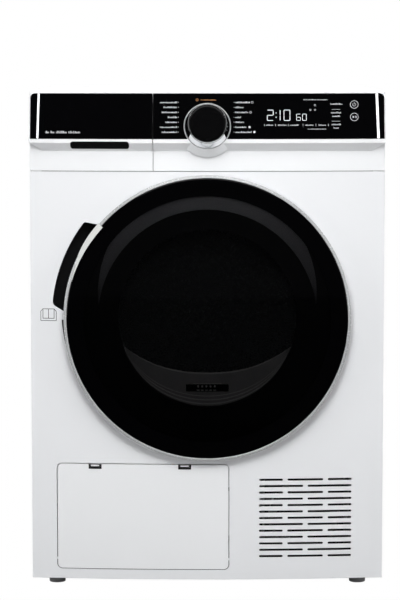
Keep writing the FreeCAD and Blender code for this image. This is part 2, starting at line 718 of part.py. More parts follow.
def door_strike():
    x, z = LATCH_X, LATCH_Z
    case = box(x - 14, x + 16, -256, -236, z - 16, z + 16)
    case = case.cut(box(x - 9, x + 12, -257, -239, z - 7, z + 7))
    return one(case)


def door_gasket():
    ring = ring_y(0, DOOR_Z, 203.0, PORT_R + 1.5, -263.5, -254.5)
    rims = [e for e in ring.Edges if e.BoundBox.YMax < -263 and len(e.Vertexes) == 1]
    return one(ring.makeFillet(2.5, rims))


# ---- drum and its bulkheads -----------------------------------------------------------------


def front_bulkhead():
    y = BULKHEAD_Y
    plate = box(-283, 283, y, y + WALL, 214, 735)
    tube = ring_y(0, DOOR_Z, PORT_R + 4, PORT_R, -254.5, y + WALL)
    rim = ring_y(0, DRUM_Z, 242, 239, y, -187)
    block = box(-84, 84, -224, y, 245, 343).common(cyl_y(0, DOOR_Z, PORT_R + 2, -224, y))
    chute = box(-84, 84, -224, y, 215, 262)
    bulkhead = plate.fuse([tube, rim, block, chute]).cut(cyl_y(0, DOOR_Z, PORT_R, y - 1, y + 20))
    front_block = block.cut(cyl_y(0, DOOR_Z, 0.5, -300, -100))
    bulkhead = bulkhead.fuse(front_block)
    slot = box(-FILTER_HALF - 1, FILTER_HALF + 1, FILTER_Y0 - 0.6, FILTER_Y1 + 0.6, 210, 345)
    bulkhead = bulkhead.cut(slot)
    for sign in (-1, 1):
        x, z = roller_place(sign)
        bulkhead = bulkhead.fuse(cyl_y(x, z, AXLE_R, y, -160))
    return one(bulkhead)


def roller_place(sign):
    a = math.radians(ROLLER_ANGLE)
    reach = DRUM_R + CLEAR + ROLLER_R
    return sign * reach * math.cos(a), DRUM_Z - reach * math.sin(a)


def support_roller(sign):
    x, z = roller_place(sign)
    wheel = ring_y(x, z, ROLLER_R, AXLE_R + RUNNING, -182, -166)
    rims = [e for e in wheel.Edges if len(e.Vertexes) == 1 and e.Length > 100]
    return one(wheel.makeFillet(1.5, rims))


def lint_filter():
    frame = box(-FILTER_HALF, FILTER_HALF, FILTER_Y0, FILTER_Y1, 226, FILTER_TOP)
    for side in (-1, 1):
        x0, x1 = sorted((side * 5, side * (FILTER_HALF - 6)))
        frame = frame.cut(box(x0, x1, FILTER_Y0 - 1, FILTER_Y0 + 5.5, 234, FILTER_TOP - 12))
        frame = frame.cut(box(x0, x1, FILTER_Y1 - 5.5, FILTER_Y1 + 1, 234, FILTER_TOP - 12))
    handle = rounded_plate(-34, 34, FILTER_Y0, FILTER_Y1, FILTER_TOP - 2, FILTER_TOP + 20, 6)
    for side in (-1, 1):
        x = side * 16.5
        handle = handle.cut(rounded_plate(x - 11, x + 11, FILTER_Y0 - 1, FILTER_Y1 + 1,
                                          FILTER_TOP + 4, FILTER_TOP + 14, 4))
    return one(frame.fuse(handle))


def felt_seals():
    front = ring_y(0, DRUM_Z, 238.5, 222, BULKHEAD_Y + WALL, DRUM_Y0 - CLEAR)
    rear = ring_y(0, DRUM_Z, 246, 228, DRUM_Y1 + CLEAR, REAR_BULKHEAD_Y)
    return front, rear


def drum_shell():
    t = 1.5
    shell = turned([(DRUM_R, DRUM_Y0), (DRUM_R, DRUM_Y1), (DRUM_R - t, DRUM_Y1),
                    (DRUM_R - t, DRUM_Y0 + t), (216, DRUM_Y0 + t), (216, DRUM_Y0)], 0, DRUM_Z)
    return one(shell)


def drum_rear_wall():
    t = 1.5
    y = DRUM_Y1
    wall = cyl_y(0, DRUM_Z, DRUM_R - t, y - t, y).cut(cyl_y(0, DRUM_Z, SHAFT_R, y - 9, y + 9))
    holes = []
    for ring in range(3):
        radius = 110 + ring * 34
        count = 18 + 6 * ring
        for i in range(count):
            a = 2 * math.pi * i / count
            x = radius * math.cos(a)
            z = DRUM_Z + radius * math.sin(a)
            holes.append(cyl_y(x, z, 5.5, y - 5, y + 5))
    return one(wall.cut(Part.makeCompound(holes)))


def drum_lifters():
    """Three hollow-backed ribs on the drum's inside."""
    inner = DRUM_R - 1.5
    y0, y1 = DRUM_Y0 + 25, DRUM_Y1 - 25
    lifters = []
    for i in range(3):
        points = [(-34, inner - 6), (-12, inner - 48), (12, inner - 48), (34, inner - 6)]
        arc_end = Vector(34, y0, math.sqrt(inner ** 2 - 34 ** 2))
        arc_start = Vector(-34, y0, math.sqrt(inner ** 2 - 34 ** 2))
        corners = [arc_start] + [Vector(x, y0, z) for x, z in points] + [arc_end]
        edges = [Part.makeLine(a, b) for a, b in zip(corners, corners[1:])]
        edges.append(Part.Arc(arc_end, Vector(0, y0, inner), arc_start).toShape())
        rib = Part.Face(Part.Wire(edges)).extrude(Vector(0, y1 - y0, 0))
        rib.translate(Vector(0, 0, DRUM_Z))
        rib.rotate(Vector(0, 0, DRUM_Z), Vector(0, 1, 0), 60 + 120 * i)
        lifters.append(rib)
    return lifters


def drum_shaft():
    y = DRUM_Y1
    shaft = cyl_y(0, DRUM_Z, SHAFT_R, y - 1.5, 246)
    flange = cyl_y(0, DRUM_Z, 45, y, y + 3)
    return one(shaft.fuse(flange))


def rear_bulkhead():
    y = REAR_BULKHEAD_Y
    plate = box(-283, 283, y, y + WALL, 214, 760)
    plate = plate.fuse(cyl_y(0, DRUM_Z, 34, y, 240))
    plate = plate.cut(cyl_y(0, DRUM_Z, SHAFT_R + RUNNING, y - 5, 260))
    for i in range(6):
        a = math.radians(60 * i + 30)
        x = 135 * math.cos(a)
        z = DRUM_Z + 135 * math.sin(a)
        plate = plate.cut(cyl_y(x, z, 45, y - 5, y + 5))
    return one(plate)


# ---- drive ----------------------------------------------------------------------------------
def belt_contour(grow):
    """Closed outline of the two pulleys' common belt line, grown outwards."""
    r1 = DRUM_R + CLEAR + grow
    r2 = PULLEY_R + CLEAR + grow
    c1 = Vector(0, 0, DRUM_Z)
    c2 = Vector(MOTOR_X, 0, MOTOR_Z)
    span = c2 - c1
    base = math.atan2(span.z, span.x)
    tilt = math.acos((r1 - r2) / span.Length)

    def at(c, r, a):
        return Vector(c.x + r * math.cos(a), BELT_Y0, c.z + r * math.sin(a))

    a, b = base + tilt, base - tilt
    big = Part.Arc(at(c1, r1, a), at(c1, r1, base + math.pi), at(c1, r1, b)).toShape()
    small = Part.Arc(at(c2, r2, b), at(c2, r2, base), at(c2, r2, a)).toShape()
    down = Part.makeLine(at(c1, r1, b), at(c2, r2, b))
    up = Part.makeLine(at(c2, r2, a), at(c1, r1, a))
    return Part.Wire([big, down, small, up])


def drum_belt():
    outer = Part.Face(belt_contour(BELT_T)).extrude(Vector(0, BELT_Y1 - BELT_Y0, 0))
    inner = Part.Face(belt_contour(0)).extrude(Vector(0, BELT_Y1 - BELT_Y0, 0))
    return one(outer.cut(inner))


def motor_stator():
    x, z = MOTOR_X, MOTOR_Z
    case = cyl_y(x, z, 54, 62, 152)
    case = case.cut(cyl_y(x, z, ROTOR_R + CLEAR, 68, 146))
    case = case.cut(cyl_y(x, z, MOTOR_SHAFT_R + RUNNING, 50, 160))
    for y in (80, 100, 120):
        case = case.cut(ring_y(x, z, 60, 51, y, y + 8))
    stand = box(x - 40, x + 40, 75, 139, FLOOR_GAP + 6, 70).cut(cyl_y(x, z, 50, 60, 160))
    return one(case.fuse(stand))


def motor_rotor():
    x, z = MOTOR_X, MOTOR_Z
    rotor = cyl_y(x, z, ROTOR_R, 70, 144)
    shaft = cyl_y(x, z, MOTOR_SHAFT_R, 8, 250)
    pulley = cyl_y(x, z, PULLEY_R, BELT_Y0 - 1, BELT_Y1 + 1)
    cheeks = [cyl_y(x, z, PULLEY_R + 5, BELT_Y0 - 4, BELT_Y0 - 1),
              cyl_y(x, z, PULLEY_R + 5, BELT_Y1 + 1, BELT_Y1 + 4)]
    return one(rotor.fuse([shaft, pulley] + cheeks))


def process_fan():
    x, z = MOTOR_X, MOTOR_Z
    disc = cyl_y(x, z, FAN_R, FAN_Y1 - 2.5, FAN_Y1)
    hub = cyl_y(x, z, 18, FAN_Y0, FAN_Y1)
    blades = []
    for i in range(16):
        blade = box(x + 44, x + FAN_R - 2, FAN_Y0, FAN_Y1, z - 1.1, z + 1.1)
        blade.rotate(Vector(x + 60, 0, z), Vector(0, 1, 0), 35)
        blade.rotate(Vector(x, 0, z), Vector(0, 1, 0), i * 22.5)
        blades.append(blade.common(cyl_y(x, z, FAN_R, FAN_Y0, FAN_Y1)))
    fan = disc.fuse([hub] + blades)
    return one(fan.cut(cyl_y(x, z, MOTOR_SHAFT_R, FAN_Y0 - 5, FAN_Y1 + 5)))


def fan_housing():
    x, z = MOTOR_X, MOTOR_Z
    r = FAN_R + 10
    y0, y1 = FAN_Y0 - 12, FAN_Y1 + 4
    outer = cyl_y(x, z, r + 2.5, y0, y1)
    outlet = box(x - r - 2.5, x - 20, y0, y1, z, 206)
    room = cyl_y(x, z, r, y0 + 2.5, y1 + 1)
    duct = box(x - r, x - 22.5, y0 + 2.5, y1 + 1, z, 207)
    eye = cyl_y(x, z, 42, y0 - 1, y0 + 5)
    shell = outer.fuse(outlet).cut(room).cut(duct).cut(eye)
    foot = box(x - 30, x + 30, y0, y1, FLOOR_GAP + 6, 24)
    return one(shell.fuse(foot.cut(cyl_y(x, z, r + 1, y0 - 1, y1 + 1))))


def idler_place():
    """Centre of the tension pulley, against the belt's left-hand run."""
    run = belt_contour(BELT_T).Edges
    lines = [e for e in run if e.Length > 200 and isinstance(e.Curve, (Part.Line, Part.LineSegment))]
    left = min(lines, key=lambda e: e.CenterOfMass.x)
    ends = sorted((v.Point for v in left.Vertexes), key=lambda p: p.z)
    along = (ends[1] - ends[0]).normalize()
    out = Vector(-abs(along.z), 0, -abs(along.x))
    spot = ends[0] + along * 70
    return spot + out * (IDLER_R + CLEAR)


def idler_pivot():
    c = idler_place()
    return c.x + ARM_REACH[0], c.z + ARM_REACH[1]


def idler_arm():
    c = idler_place()
    px, pz = idler_pivot()
    y0, y1 = BELT_Y1 + 3, BELT_Y1 + 7
    length = math.hypot(*ARM_REACH)
    bar = box(0, length, y0, y1, -8, 8)
    bar.rotate(Vector(0, 0, 0), Vector(0, 1, 0), -math.degrees(math.atan2(c.z - pz, c.x - px)))
    bar.translate(Vector(px, 0, pz))
    arm = bar.fuse([cyl_y(px, pz, 11, y0, y1 + 8), cyl_y(c.x, c.z, 10, y0, y1)])
    arm = arm.fuse(cyl_y(c.x, c.z, 4.0, BELT_Y0, y0))
    return one(arm.cut(cyl_y(px, pz, 5.0 + RUNNING, y0 - 1, y1 + 9)))


def idler_pulley():
    c = idler_place()
    return one(ring_y(c.x, c.z, IDLER_R, 4.0 + RUNNING, BELT_Y0 - 1, BELT_Y1 + 1))


# ---- heat pump ------------------------------------------------------------------------------
def finned_block(x0, x1, y0, y1, z0, z1, count):
    block = box(x0, x1, y0, y1, z0, z1)
    pitch = (x1 - x0) / count
    gaps = []
    for i in range(1, count):
        x = x0 + i * pitch
        gaps.append(box(x - 2, x + 2, y0 - 1, y1 + 1, z0 + 10, z1 - 10))
    block = block.cut(Part.makeCompound(gaps))
    return one(block)


def compressor():
    x, y = COMPRESSOR
    pot = cyl_z(x, y, 56, 40, 186)
    rims = [e for e in pot.Edges if len(e.Vertexes) == 1 and e.Length > 300]
    pot = pot.makeFillet(22, rims)
    plate = rounded_plate(x - 62, x + 62, 0, 5, 0, 124, 16)
    plate.rotate(Vector(x, 0, 0), Vector(1, 0, 0), 90)
    plate.translate(Vector(0, y + 62, 30))
    solid = pot.fuse([plate, cyl_z(x, y, 40, 34, 50)])
    for dx in (-46, 46):
        for dy in (-46, 46):
            solid = solid.fuse(cyl_z(x + dx, y + dy, 9, FLOOR_GAP + 6, 31))
    return one(solid)


def refrigerant_pipes():
    x, y = COMPRESSOR
    hot = pipe([(x - 20, y, 186.1), (x - 20, y, 199), (x - 20, -55, 199), (-60, -55, 199),
                (-60, -55, 190.2)], 3.0)
    cold = pipe([(x + 20, y, 186.1), (x + 20, y, 199), (x + 20, -165, 199), (-60, -165, 199),
                 (-60, -165, 190.2)], 3.0)
    return hot, cold


def condensate_pump():
    body = cyl_z(70, -60, 26, FLOOR_GAP + 6, 60)
    top = rounded_plate(42, 98, -84, -36, 60, 84, 4)
    spout = cyl_z(70, -60, 5, 84, 100)
    return one(body.fuse([top, spout]))


def cooling_fan_frame():
    y0, y1 = COOL_Y0, COOL_Y0 + 26
    frame = rounded_plate(FAN_X - 68, FAN_X + 68, y0, y1, COOL_Z - 68, COOL_Z + 68, 8)
    frame = frame.cut(cyl_y(FAN_X, COOL_Z, 62, y0 - 1, y1 + 1))
    spider = []
    for i in range(3):
        arm = box(FAN_X, FAN_X + 64, y1 - 5, y1, COOL_Z - 3, COOL_Z + 3)
        arm.rotate(Vector(FAN_X, 0, COOL_Z), Vector(0, 1, 0), 120 * i + 15)
        spider.append(arm)
    spider.append(cyl_y(FAN_X, COOL_Z, 18, y1 - 5, y1))
    spider.append(cyl_y(FAN_X, COOL_Z, 3.0, y0 + 3, y1))
    stand = box(FAN_X - 60, FAN_X + 60, y0 + 4, y1, FLOOR_GAP + 6, COOL_Z - 67)
    return one(frame.fuse(spider + [stand]))


def cooling_fan():
    y0 = COOL_Y0 + 2
    hub = cyl_y(FAN_X, COOL_Z, 20, y0, y0 + 17)
    blades = []
    for i in range(7):
        blade = box(FAN_X + 12, FAN_X + 58, y0 + 7, y0 + 9, COOL_Z - 14, COOL_Z + 14)
        blade.rotate(Vector(FAN_X, y0 + 8, COOL_Z), Vector(1, 0, 0), 24)
        blade.rotate(Vector(FAN_X, 0, COOL_Z), Vector(0, 1, 0), i * 360 / 7)
        blades.append(blade)
    fan = hub.fuse(blades)
    return one(fan.cut(cyl_y(FAN_X, COOL_Z, 3.0 + RUNNING, y0 - 5, y0 + 30)))


def mains_inlet():
    x, z = INLET
    plate = rounded_plate(x - 20, x + 20, REAR, REAR + 3, z - 20, z + 20, 5)
    collar = cyl_y(x, z, 12, REAR, REAR + 12)
    neck = cyl_y(x, z, 8.8, REAR - 14, REAR)
    gland = plate.fuse([collar, neck])
    return one(gland.cut(cyl_y(x, z, 4.5, REAR - 20, REAR + 20)))


# ---- one file per piece -----------------------------------------------------------------------
save("base_pan", base_pan())
save("left_side_panel", side_panel(-1))
save("right_side_panel", side_panel(1))
save("worktop", worktop())
save("front_panel", front_panel())
save("rear_panel", rear_panel())
save("rear_duct_cover", rear_duct_cover())
save("cabinet_screws", *cabinet_screws())
save("handle_pocket", handle_pocket())
save("hatch_flap", hatch_flap())
save("hatch_latch_left", hatch_latch(HATCH_LATCH_X[0]))
save("hatch_latch_right", hatch_latch(HATCH_LATCH_X[1]))
save("exchanger_cover", exchanger_cover())
save("cover_lock_left", cover_lock(COVER_LOCK_X[0]))
save("cover_lock_right", cover_lock(COVER_LOCK_X[1]))
save("foot_left", screw_foot(-FOOT_X, FOOT_FRONT))
save("foot_right", screw_foot(FOOT_X, FOOT_FRONT))
save("rear_feet", screw_foot(-FOOT_X, FOOT_REAR), screw_foot(FOOT_X, FOOT_REAR))
save("console_panel", console_panel())
save("console_glass", console_glass())
save("control_board", *control_board())
save("knob_skirt", knob_skirt())
save("knob_cap", knob_cap())
save("drawer_front", drawer_front())
save("drawer_glass", drawer_glass())
save("water_tank", water_tank())
save("tank_housing", tank_housing())
save("door_ring", door_ring())
save("door_glass", door_glass())
save("door_frame", door_frame())
save("door_window", door_window())
save("hinge_bracket", hinge_bracket())
save("latch_hook", latch_hook())
save("door_strike", door_strike())
save("door_gasket", door_gasket())
save("front_bulkhead", front_bulkhead())
save("roller_left", support_roller(-1))
save("roller_right", support_roller(1))
save("lint_filter", lint_filter())
save("felt_seals", *felt_seals())
save("drum_shell", drum_shell())
save("drum_rear_wall", drum_rear_wall())
save("drum_lifters", *drum_lifters())
save("drum_shaft", drum_shaft())
save("rear_bulkhead", rear_bulkhead())
save("drum_belt", drum_belt())
save("motor_stator", motor_stator())
save("motor_rotor", motor_rotor())
save("process_fan", process_fan())
save("fan_housing", fan_housing())
save("idler_arm", idler_arm())
save("idler_pulley", idler_pulley())
save("evaporator", finned_block(EXCHANGER_X[0], EXCHANGER_X[1], -215, -125, FLOOR_GAP + 6, 190, 12))
save("condenser", finned_block(EXCHANGER_X[0], EXCHANGER_X[1], -105, 2, FLOOR_GAP + 6, 190, 12))
save("compressor", compressor())
save("refrigerant_pipes", *refrigerant_pipes())
save("condensate_pump", condensate_pump())
save("cooling_fan_frame", cooling_fan_frame())
save("cooling_fan", cooling_fan())
save("mains_inlet", mains_inlet())
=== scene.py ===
import json
import math
import random

import bmesh
import bpy
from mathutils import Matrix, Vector


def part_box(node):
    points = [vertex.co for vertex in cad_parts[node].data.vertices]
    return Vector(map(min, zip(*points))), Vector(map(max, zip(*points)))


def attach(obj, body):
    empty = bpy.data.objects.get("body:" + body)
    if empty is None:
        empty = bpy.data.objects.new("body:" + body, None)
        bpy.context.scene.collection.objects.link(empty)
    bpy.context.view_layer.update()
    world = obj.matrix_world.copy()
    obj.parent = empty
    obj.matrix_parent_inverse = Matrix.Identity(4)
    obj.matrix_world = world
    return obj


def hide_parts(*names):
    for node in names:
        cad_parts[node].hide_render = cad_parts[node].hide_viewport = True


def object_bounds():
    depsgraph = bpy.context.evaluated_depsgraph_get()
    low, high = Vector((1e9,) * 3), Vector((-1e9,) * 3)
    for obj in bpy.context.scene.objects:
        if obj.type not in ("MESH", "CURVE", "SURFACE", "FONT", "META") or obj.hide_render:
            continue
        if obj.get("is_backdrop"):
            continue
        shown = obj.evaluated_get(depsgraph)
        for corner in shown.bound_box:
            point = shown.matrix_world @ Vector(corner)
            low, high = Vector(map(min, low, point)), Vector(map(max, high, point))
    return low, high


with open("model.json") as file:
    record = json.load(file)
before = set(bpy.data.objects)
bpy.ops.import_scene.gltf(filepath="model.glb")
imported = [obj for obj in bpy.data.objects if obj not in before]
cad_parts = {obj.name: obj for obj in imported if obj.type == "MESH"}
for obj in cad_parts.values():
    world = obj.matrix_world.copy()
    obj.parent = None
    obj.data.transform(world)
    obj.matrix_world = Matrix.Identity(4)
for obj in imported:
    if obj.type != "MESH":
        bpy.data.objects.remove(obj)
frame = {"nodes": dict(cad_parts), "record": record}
CAD_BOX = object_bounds()
MM = 0.001

# ---- places worked out from the frame --------------------------------------------------------
panel_low, panel_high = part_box("front_panel")
HALF_W = panel_high.x
PANEL_Y = panel_low.y                      # the bowed front's most forward line
BOW = 18 * MM                              # how far the front falls back at its sides
BOW_R = (HALF_W ** 2 + BOW ** 2) / (2 * BOW)
face_low, face_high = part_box("console_glass")
FACE_Z0, FACE_Z1 = face_low.z, face_high.z
FACE_Y = PANEL_Y - 21.33 * MM              # black face at its lower edge, mid-width
LEAN = math.radians(13)                    # the face's slope, back from upright
PRINT_SCALE = 0.955                        # print heights are laid out for a taller face
ring_low, ring_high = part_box("door_ring")
DOOR_Z = (ring_low.z + ring_high.z) / 2
RING_FRONT = ring_low.y
pane_low, pane_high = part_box("door_glass")
PANE_R = (pane_high.z - pane_low.z) / 2
HATCH_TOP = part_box("hatch_flap")[1].z / MM
LATCHES = {"left": -191.0, "right": -38.5}    # x of each hatch tab's middle, in mm
KNOB_RISE = 21.4 * MM                      # knob's axis above the face's lower edge
KNOB = Vector((0, FACE_Y + KNOB_RISE * math.tan(LEAN), FACE_Z0 + KNOB_RISE))
KNOB_OUT = Vector((0, -math.cos(LEAN), math.sin(LEAN)))
KNOB_UP = Vector((0, math.sin(LEAN), math.cos(LEAN)))


def bow(x):
    """How far the bowed front lies behind its most forward line."""
    return BOW_R - math.sqrt(BOW_R ** 2 - x ** 2)


def face_point(x, z, lift):
    """A point over the black face, lifted off it."""
    middle = FACE_Y + (z - FACE_Z0) * math.tan(LEAN)
    radius = BOW_R + PANEL_Y - middle
    return Vector((x, middle + radius - math.sqrt(radius ** 2 - x ** 2) - lift, z))


def print_point(x, z, lift):
    """As face_point, for print laid out over a face that is a little taller."""
    return face_point(x, FACE_Z1 - (FACE_Z1 - z) * PRINT_SCALE, lift)


def panel_point(x, z, lift):
    """A point over the bowed white panel, lifted off it."""
    return Vector((x, PANEL_Y + bow(x) - lift, z))


def knob_point(r, angle, out):
    """A point about the knob's axis; angle 0 is to the right, 90 degrees is up the face."""
    side = Vector((r * math.cos(angle), 0, 0))
    return KNOB + side + KNOB_UP * (r * math.sin(angle)) + KNOB_OUT * out


# ---- materials -------------------------------------------------------------------------------
def new_material(name):
    material = bpy.data.materials.new(name)
    material.use_nodes = True
    tree = material.node_tree
    shader = tree.nodes["Principled BSDF"]
    return material, tree, shader


def noise(tree, scale, detail, stretch=None):
    """Noise over the object's own coordinates, drawn out along the axes of stretch."""
    coords = tree.nodes.new("ShaderNodeTexCoord")
    source = coords.outputs["Object"]
    if stretch:
        mapping = tree.nodes.new("ShaderNodeMapping")
        mapping.inputs["Scale"].default_value = stretch
        tree.links.new(source, mapping.inputs["Vector"])
        source = mapping.outputs["Vector"]
    texture = tree.nodes.new("ShaderNodeTexNoise")
    texture.inputs["Scale"].default_value = scale
    texture.inputs["Detail"].default_value = detail
    tree.links.new(source, texture.inputs["Vector"])
    return texture.outputs["Fac"]


def ranged(tree, source, low, high, start=0.3, end=0.7):
    """Low to high while the source goes from start to end."""
    node = tree.nodes.new("ShaderNodeMapRange")
    node.inputs["From Min"].default_value = start
    node.inputs["From Max"].default_value = end
    node.inputs["To Min"].default_value = low
    node.inputs["To Max"].default_value = high
    tree.links.new(source, node.inputs["Value"])
    return node.outputs["Result"]


def mixed(tree, factor, colour_a, colour_b):
    node = tree.nodes.new("ShaderNodeMix")
    node.data_type = "RGBA"
    node.inputs["A"].default_value = (*colour_a, 1)
    node.inputs["B"].default_value = (*colour_b, 1)
    tree.links.new(factor, node.inputs["Factor"])
    return node.outputs["Result"]


def surface(name, colour, rough=0.4, metal=0.0, tint=0.06, scale=30, rough_spread=0.08,
            grain=900, bump=0.03, coat=0.0, stretch=None, edge=0.0, specular=0.5):
    """Colour drift, roughness drift and a fine grain, with optional rounded edges."""
    material, tree, shader = new_material(name)
    drift = noise(tree, scale, 4.0, stretch)
    darker = tuple(c * (1 - tint) for c in colour)
    tree.links.new(mixed(tree, drift, darker, colour), shader.inputs["Base Color"])
    fine = noise(tree, grain, 2.0, stretch)
    low = max(rough - rough_spread / 2, 0.02)
    tree.links.new(ranged(tree, fine, low, rough + rough_spread / 2), shader.inputs["Roughness"])
    shader.inputs["Metallic"].default_value = metal
    shader.inputs["Specular IOR Level"].default_value = specular
    if coat:
        shader.inputs["Coat Weight"].default_value = coat
        shader.inputs["Coat Roughness"].default_value = 0.06
    height = tree.nodes.new("ShaderNodeBump")
    height.inputs["Strength"].default_value = bump
    height.inputs["Distance"].default_value = 0.0004
    tree.links.new(fine, height.inputs["Height"])
    if edge:
        rounding = tree.nodes.new("ShaderNodeBevel")
        rounding.inputs["Radius"].default_value = edge
        tree.links.new(rounding.outputs["Normal"], height.inputs["Normal"])
    tree.links.new(height.outputs["Normal"], shader.inputs["Normal"])
    return material


def glow(name, colour, strength):
    """Print that shines a little by itself, unevenly."""
    material, tree, shader = new_material(name)
    drift = noise(tree, 700, 1.0)
    low = tuple(c * 0.8 for c in colour)
    tree.links.new(mixed(tree, drift, low, colour), shader.inputs["Emission Color"])
    shader.inputs["Emission Strength"].default_value = strength
    shader.inputs["Base Color"].default_value = (*colour, 1)
    shader.inputs["Roughness"].default_value = 0.5
    return material


WINDOW_R = 0.2065            # clear inside this radius of the pane, in metres
BORDER_R = 0.2085            # black outside this one


def smoked_pane():
    """Black printed border that thins to smoked glass inside the window's radius."""
    material, tree, shader = new_material("smoked_pane")
    coords = tree.nodes.new("ShaderNodeTexCoord")
    split = tree.nodes.new("ShaderNodeSeparateXYZ")
    tree.links.new(coords.outputs["Object"], split.inputs["Vector"])
    centred = tree.nodes.new("ShaderNodeMath")
    centred.operation = "SUBTRACT"
    tree.links.new(split.outputs["Z"], centred.inputs[0])
    centred.inputs[1].default_value = DOOR_Z
    place = tree.nodes.new("ShaderNodeCombineXYZ")
    tree.links.new(split.outputs["X"], place.inputs["X"])
    tree.links.new(centred.outputs["Value"], place.inputs["Y"])
    length = tree.nodes.new("ShaderNodeVectorMath")
    length.operation = "LENGTH"
    tree.links.new(place.outputs["Vector"], length.inputs[0])
    border = ranged(tree, length.outputs["Value"], 0.0, 1.0, WINDOW_R, BORDER_R)
    shader.inputs["Base Color"].default_value = (0.0008, 0.0008, 0.001, 1)
    shader.inputs["Specular IOR Level"].default_value = 0.3
    smear = noise(tree, 14, 2.0)
    tree.links.new(ranged(tree, smear, 0.02, 0.05), shader.inputs["Roughness"])
    clear = tree.nodes.new("ShaderNodeBsdfTransparent")
    clear.inputs["Color"].default_value = (0.64, 0.64, 0.65, 1)
    gloss = tree.nodes.new("ShaderNodeBsdfGlossy")
    gloss.inputs["Roughness"].default_value = 0.02
    gloss.inputs["Color"].default_value = (1, 1, 1, 1)
    fresnel = tree.nodes.new("ShaderNodeFresnel")
    fresnel.inputs["IOR"].default_value = 1.45
    window = tree.nodes.new("ShaderNodeMixShader")
    tree.links.new(fresnel.outputs["Fac"], window.inputs["Fac"])
    tree.links.new(clear.outputs["BSDF"], window.inputs[1])
    tree.links.new(gloss.outputs["BSDF"], window.inputs[2])
    whole = tree.nodes.new("ShaderNodeMixShader")
    tree.links.new(border, whole.inputs["Fac"])
    tree.links.new(window.outputs["Shader"], whole.inputs[1])
    tree.links.new(shader.outputs["BSDF"], whole.inputs[2])
    tree.links.new(whole.outputs["Shader"], tree.nodes["Material Output"].inputs["Surface"])
    return material


def clear_glass():
    """The bowl behind the pane: mostly see-through, with a smeared gloss."""
    material, tree, shader = new_material("clear_glass")
    clear = tree.nodes.new("ShaderNodeBsdfTransparent")
    clear.inputs["Color"].default_value = (0.80, 0.82, 0.82, 1)
    smear = noise(tree, 20, 2.0)
    tree.links.new(ranged(tree, smear, 0.02, 0.07), shader.inputs["Roughness"])
    shader.inputs["Base Color"].default_value = (0.6, 0.62, 0.62, 1)
    mix = tree.nodes.new("ShaderNodeMixShader")
    fresnel = tree.nodes.new("ShaderNodeFresnel")
    fresnel.inputs["IOR"].default_value = 1.3
    tree.links.new(fresnel.outputs["Fac"], mix.inputs["Fac"])
    tree.links.new(clear.outputs["BSDF"], mix.inputs[1])
    tree.links.new(shader.outputs["BSDF"], mix.inputs[2])
    tree.links.new(mix.outputs["Shader"], tree.nodes["Material Output"].inputs["Surface"])
    return material


BRUSH = (1, 1, 60)           # grain drawn out across the height
MATERIALS = {
    "white_panel": surface("white_panel", (0.80, 0.81, 0.83), 0.32, tint=0.02, scale=6,
                           grain=1200, bump=0.05, coat=0.25, edge=1.5 * MM),
    "white_plastic": surface("white_plastic", (0.82, 0.83, 0.845), 0.38, tint=0.02, scale=9,
                             grain=1600, bump=0.05, edge=1.2 * MM),
    "black_gloss": surface("black_gloss", (0.0012, 0.0012, 0.0015), 0.06, tint=0.2, scale=12,
                           rough_spread=0.03, grain=40, bump=0.004, edge=0.8 * MM,
                           specular=0.3),
    "door_pane": smoked_pane(),
    "window_glass": clear_glass(),
    "chrome": surface("chrome", (0.86, 0.87, 0.88), 0.07, 1.0, tint=0.05, scale=25,
                      rough_spread=0.05, grain=300, bump=0.01),
    "knob_black": surface("knob_black", (0.0015, 0.0015, 0.0017), 0.12, tint=0.2, scale=60,
                          rough_spread=0.05, grain=1500, bump=0.01, specular=0.25),
    "dark_plastic": surface("dark_plastic", (0.006, 0.006, 0.0065), 0.6, tint=0.25, scale=50,
                            grain=1400, bump=0.15, specular=0.15),
    "grey_plastic": surface("grey_plastic", (0.20, 0.205, 0.21), 0.5, tint=0.12, scale=25,
                            grain=1200, bump=0.12),
    "pale_plastic": surface("pale_plastic", (0.62, 0.63, 0.62), 0.45, tint=0.06, scale=22,
                            grain=1200, bump=0.08),
    "zinc_steel": surface("zinc_steel", (0.55, 0.56, 0.57), 0.42, 0.85, tint=0.22, scale=38,
                          rough_spread=0.2, grain=180, bump=0.04),
    "steel": surface("steel", (0.58, 0.58, 0.60), 0.3, 1.0, tint=0.15, scale=60, grain=500,
                     bump=0.05, stretch=BRUSH),
    "stainless": surface("stainless", (0.62, 0.62, 0.63), 0.28, 1.0, tint=0.12, scale=40,
                         grain=350, bump=0.04, stretch=(1, 60, 1)),
    "rubber": surface("rubber", (0.02, 0.02, 0.021), 0.75, tint=0.3, scale=60, grain=900,
                      bump=0.25),
    "felt": surface("felt", (0.33, 0.32, 0.29), 0.95, tint=0.35, scale=260, grain=1800,
                    bump=0.6, specular=0.1),
    "fins": surface("fins", (0.66, 0.67, 0.67), 0.38, 1.0, tint=0.2, scale=80, grain=700,
                    bump=0.1, stretch=(40, 1, 1)),
    "copper": surface("copper", (0.72, 0.34, 0.20), 0.32, 1.0, tint=0.3, scale=70, grain=400,
                      bump=0.06),
    "black_paint": surface("black_paint", (0.015, 0.015, 0.015), 0.35, tint=0.2, scale=40,
                           grain=700, bump=0.06),
    "circuit": surface("circuit", (0.02, 0.10, 0.045), 0.4, tint=0.4, scale=140, grain=600,
                       bump=0.1),
    "foot_plastic": surface("foot_plastic", (0.32, 0.32, 0.325), 0.45, tint=0.2, scale=60,
                            grain=1300, bump=0.15),
}
# Painted light: the white print also glows a little, though it is no lamp.
PRINT_GLOW_WHITE = glow("print_white_glow", (0.50, 0.51, 0.53), 0.2)
DEEP_BLACK = surface("deep_black", (0.004, 0.004, 0.004), 0.8, tint=0.3, scale=80, bump=0.2,
                     specular=0.05)
SATIN_SILVER = surface("satin_silver", (0.62, 0.63, 0.64), 0.24, 0.35, tint=0.06, scale=30,
                       rough_spread=0.1, grain=400, bump=0.02, coat=0.5)
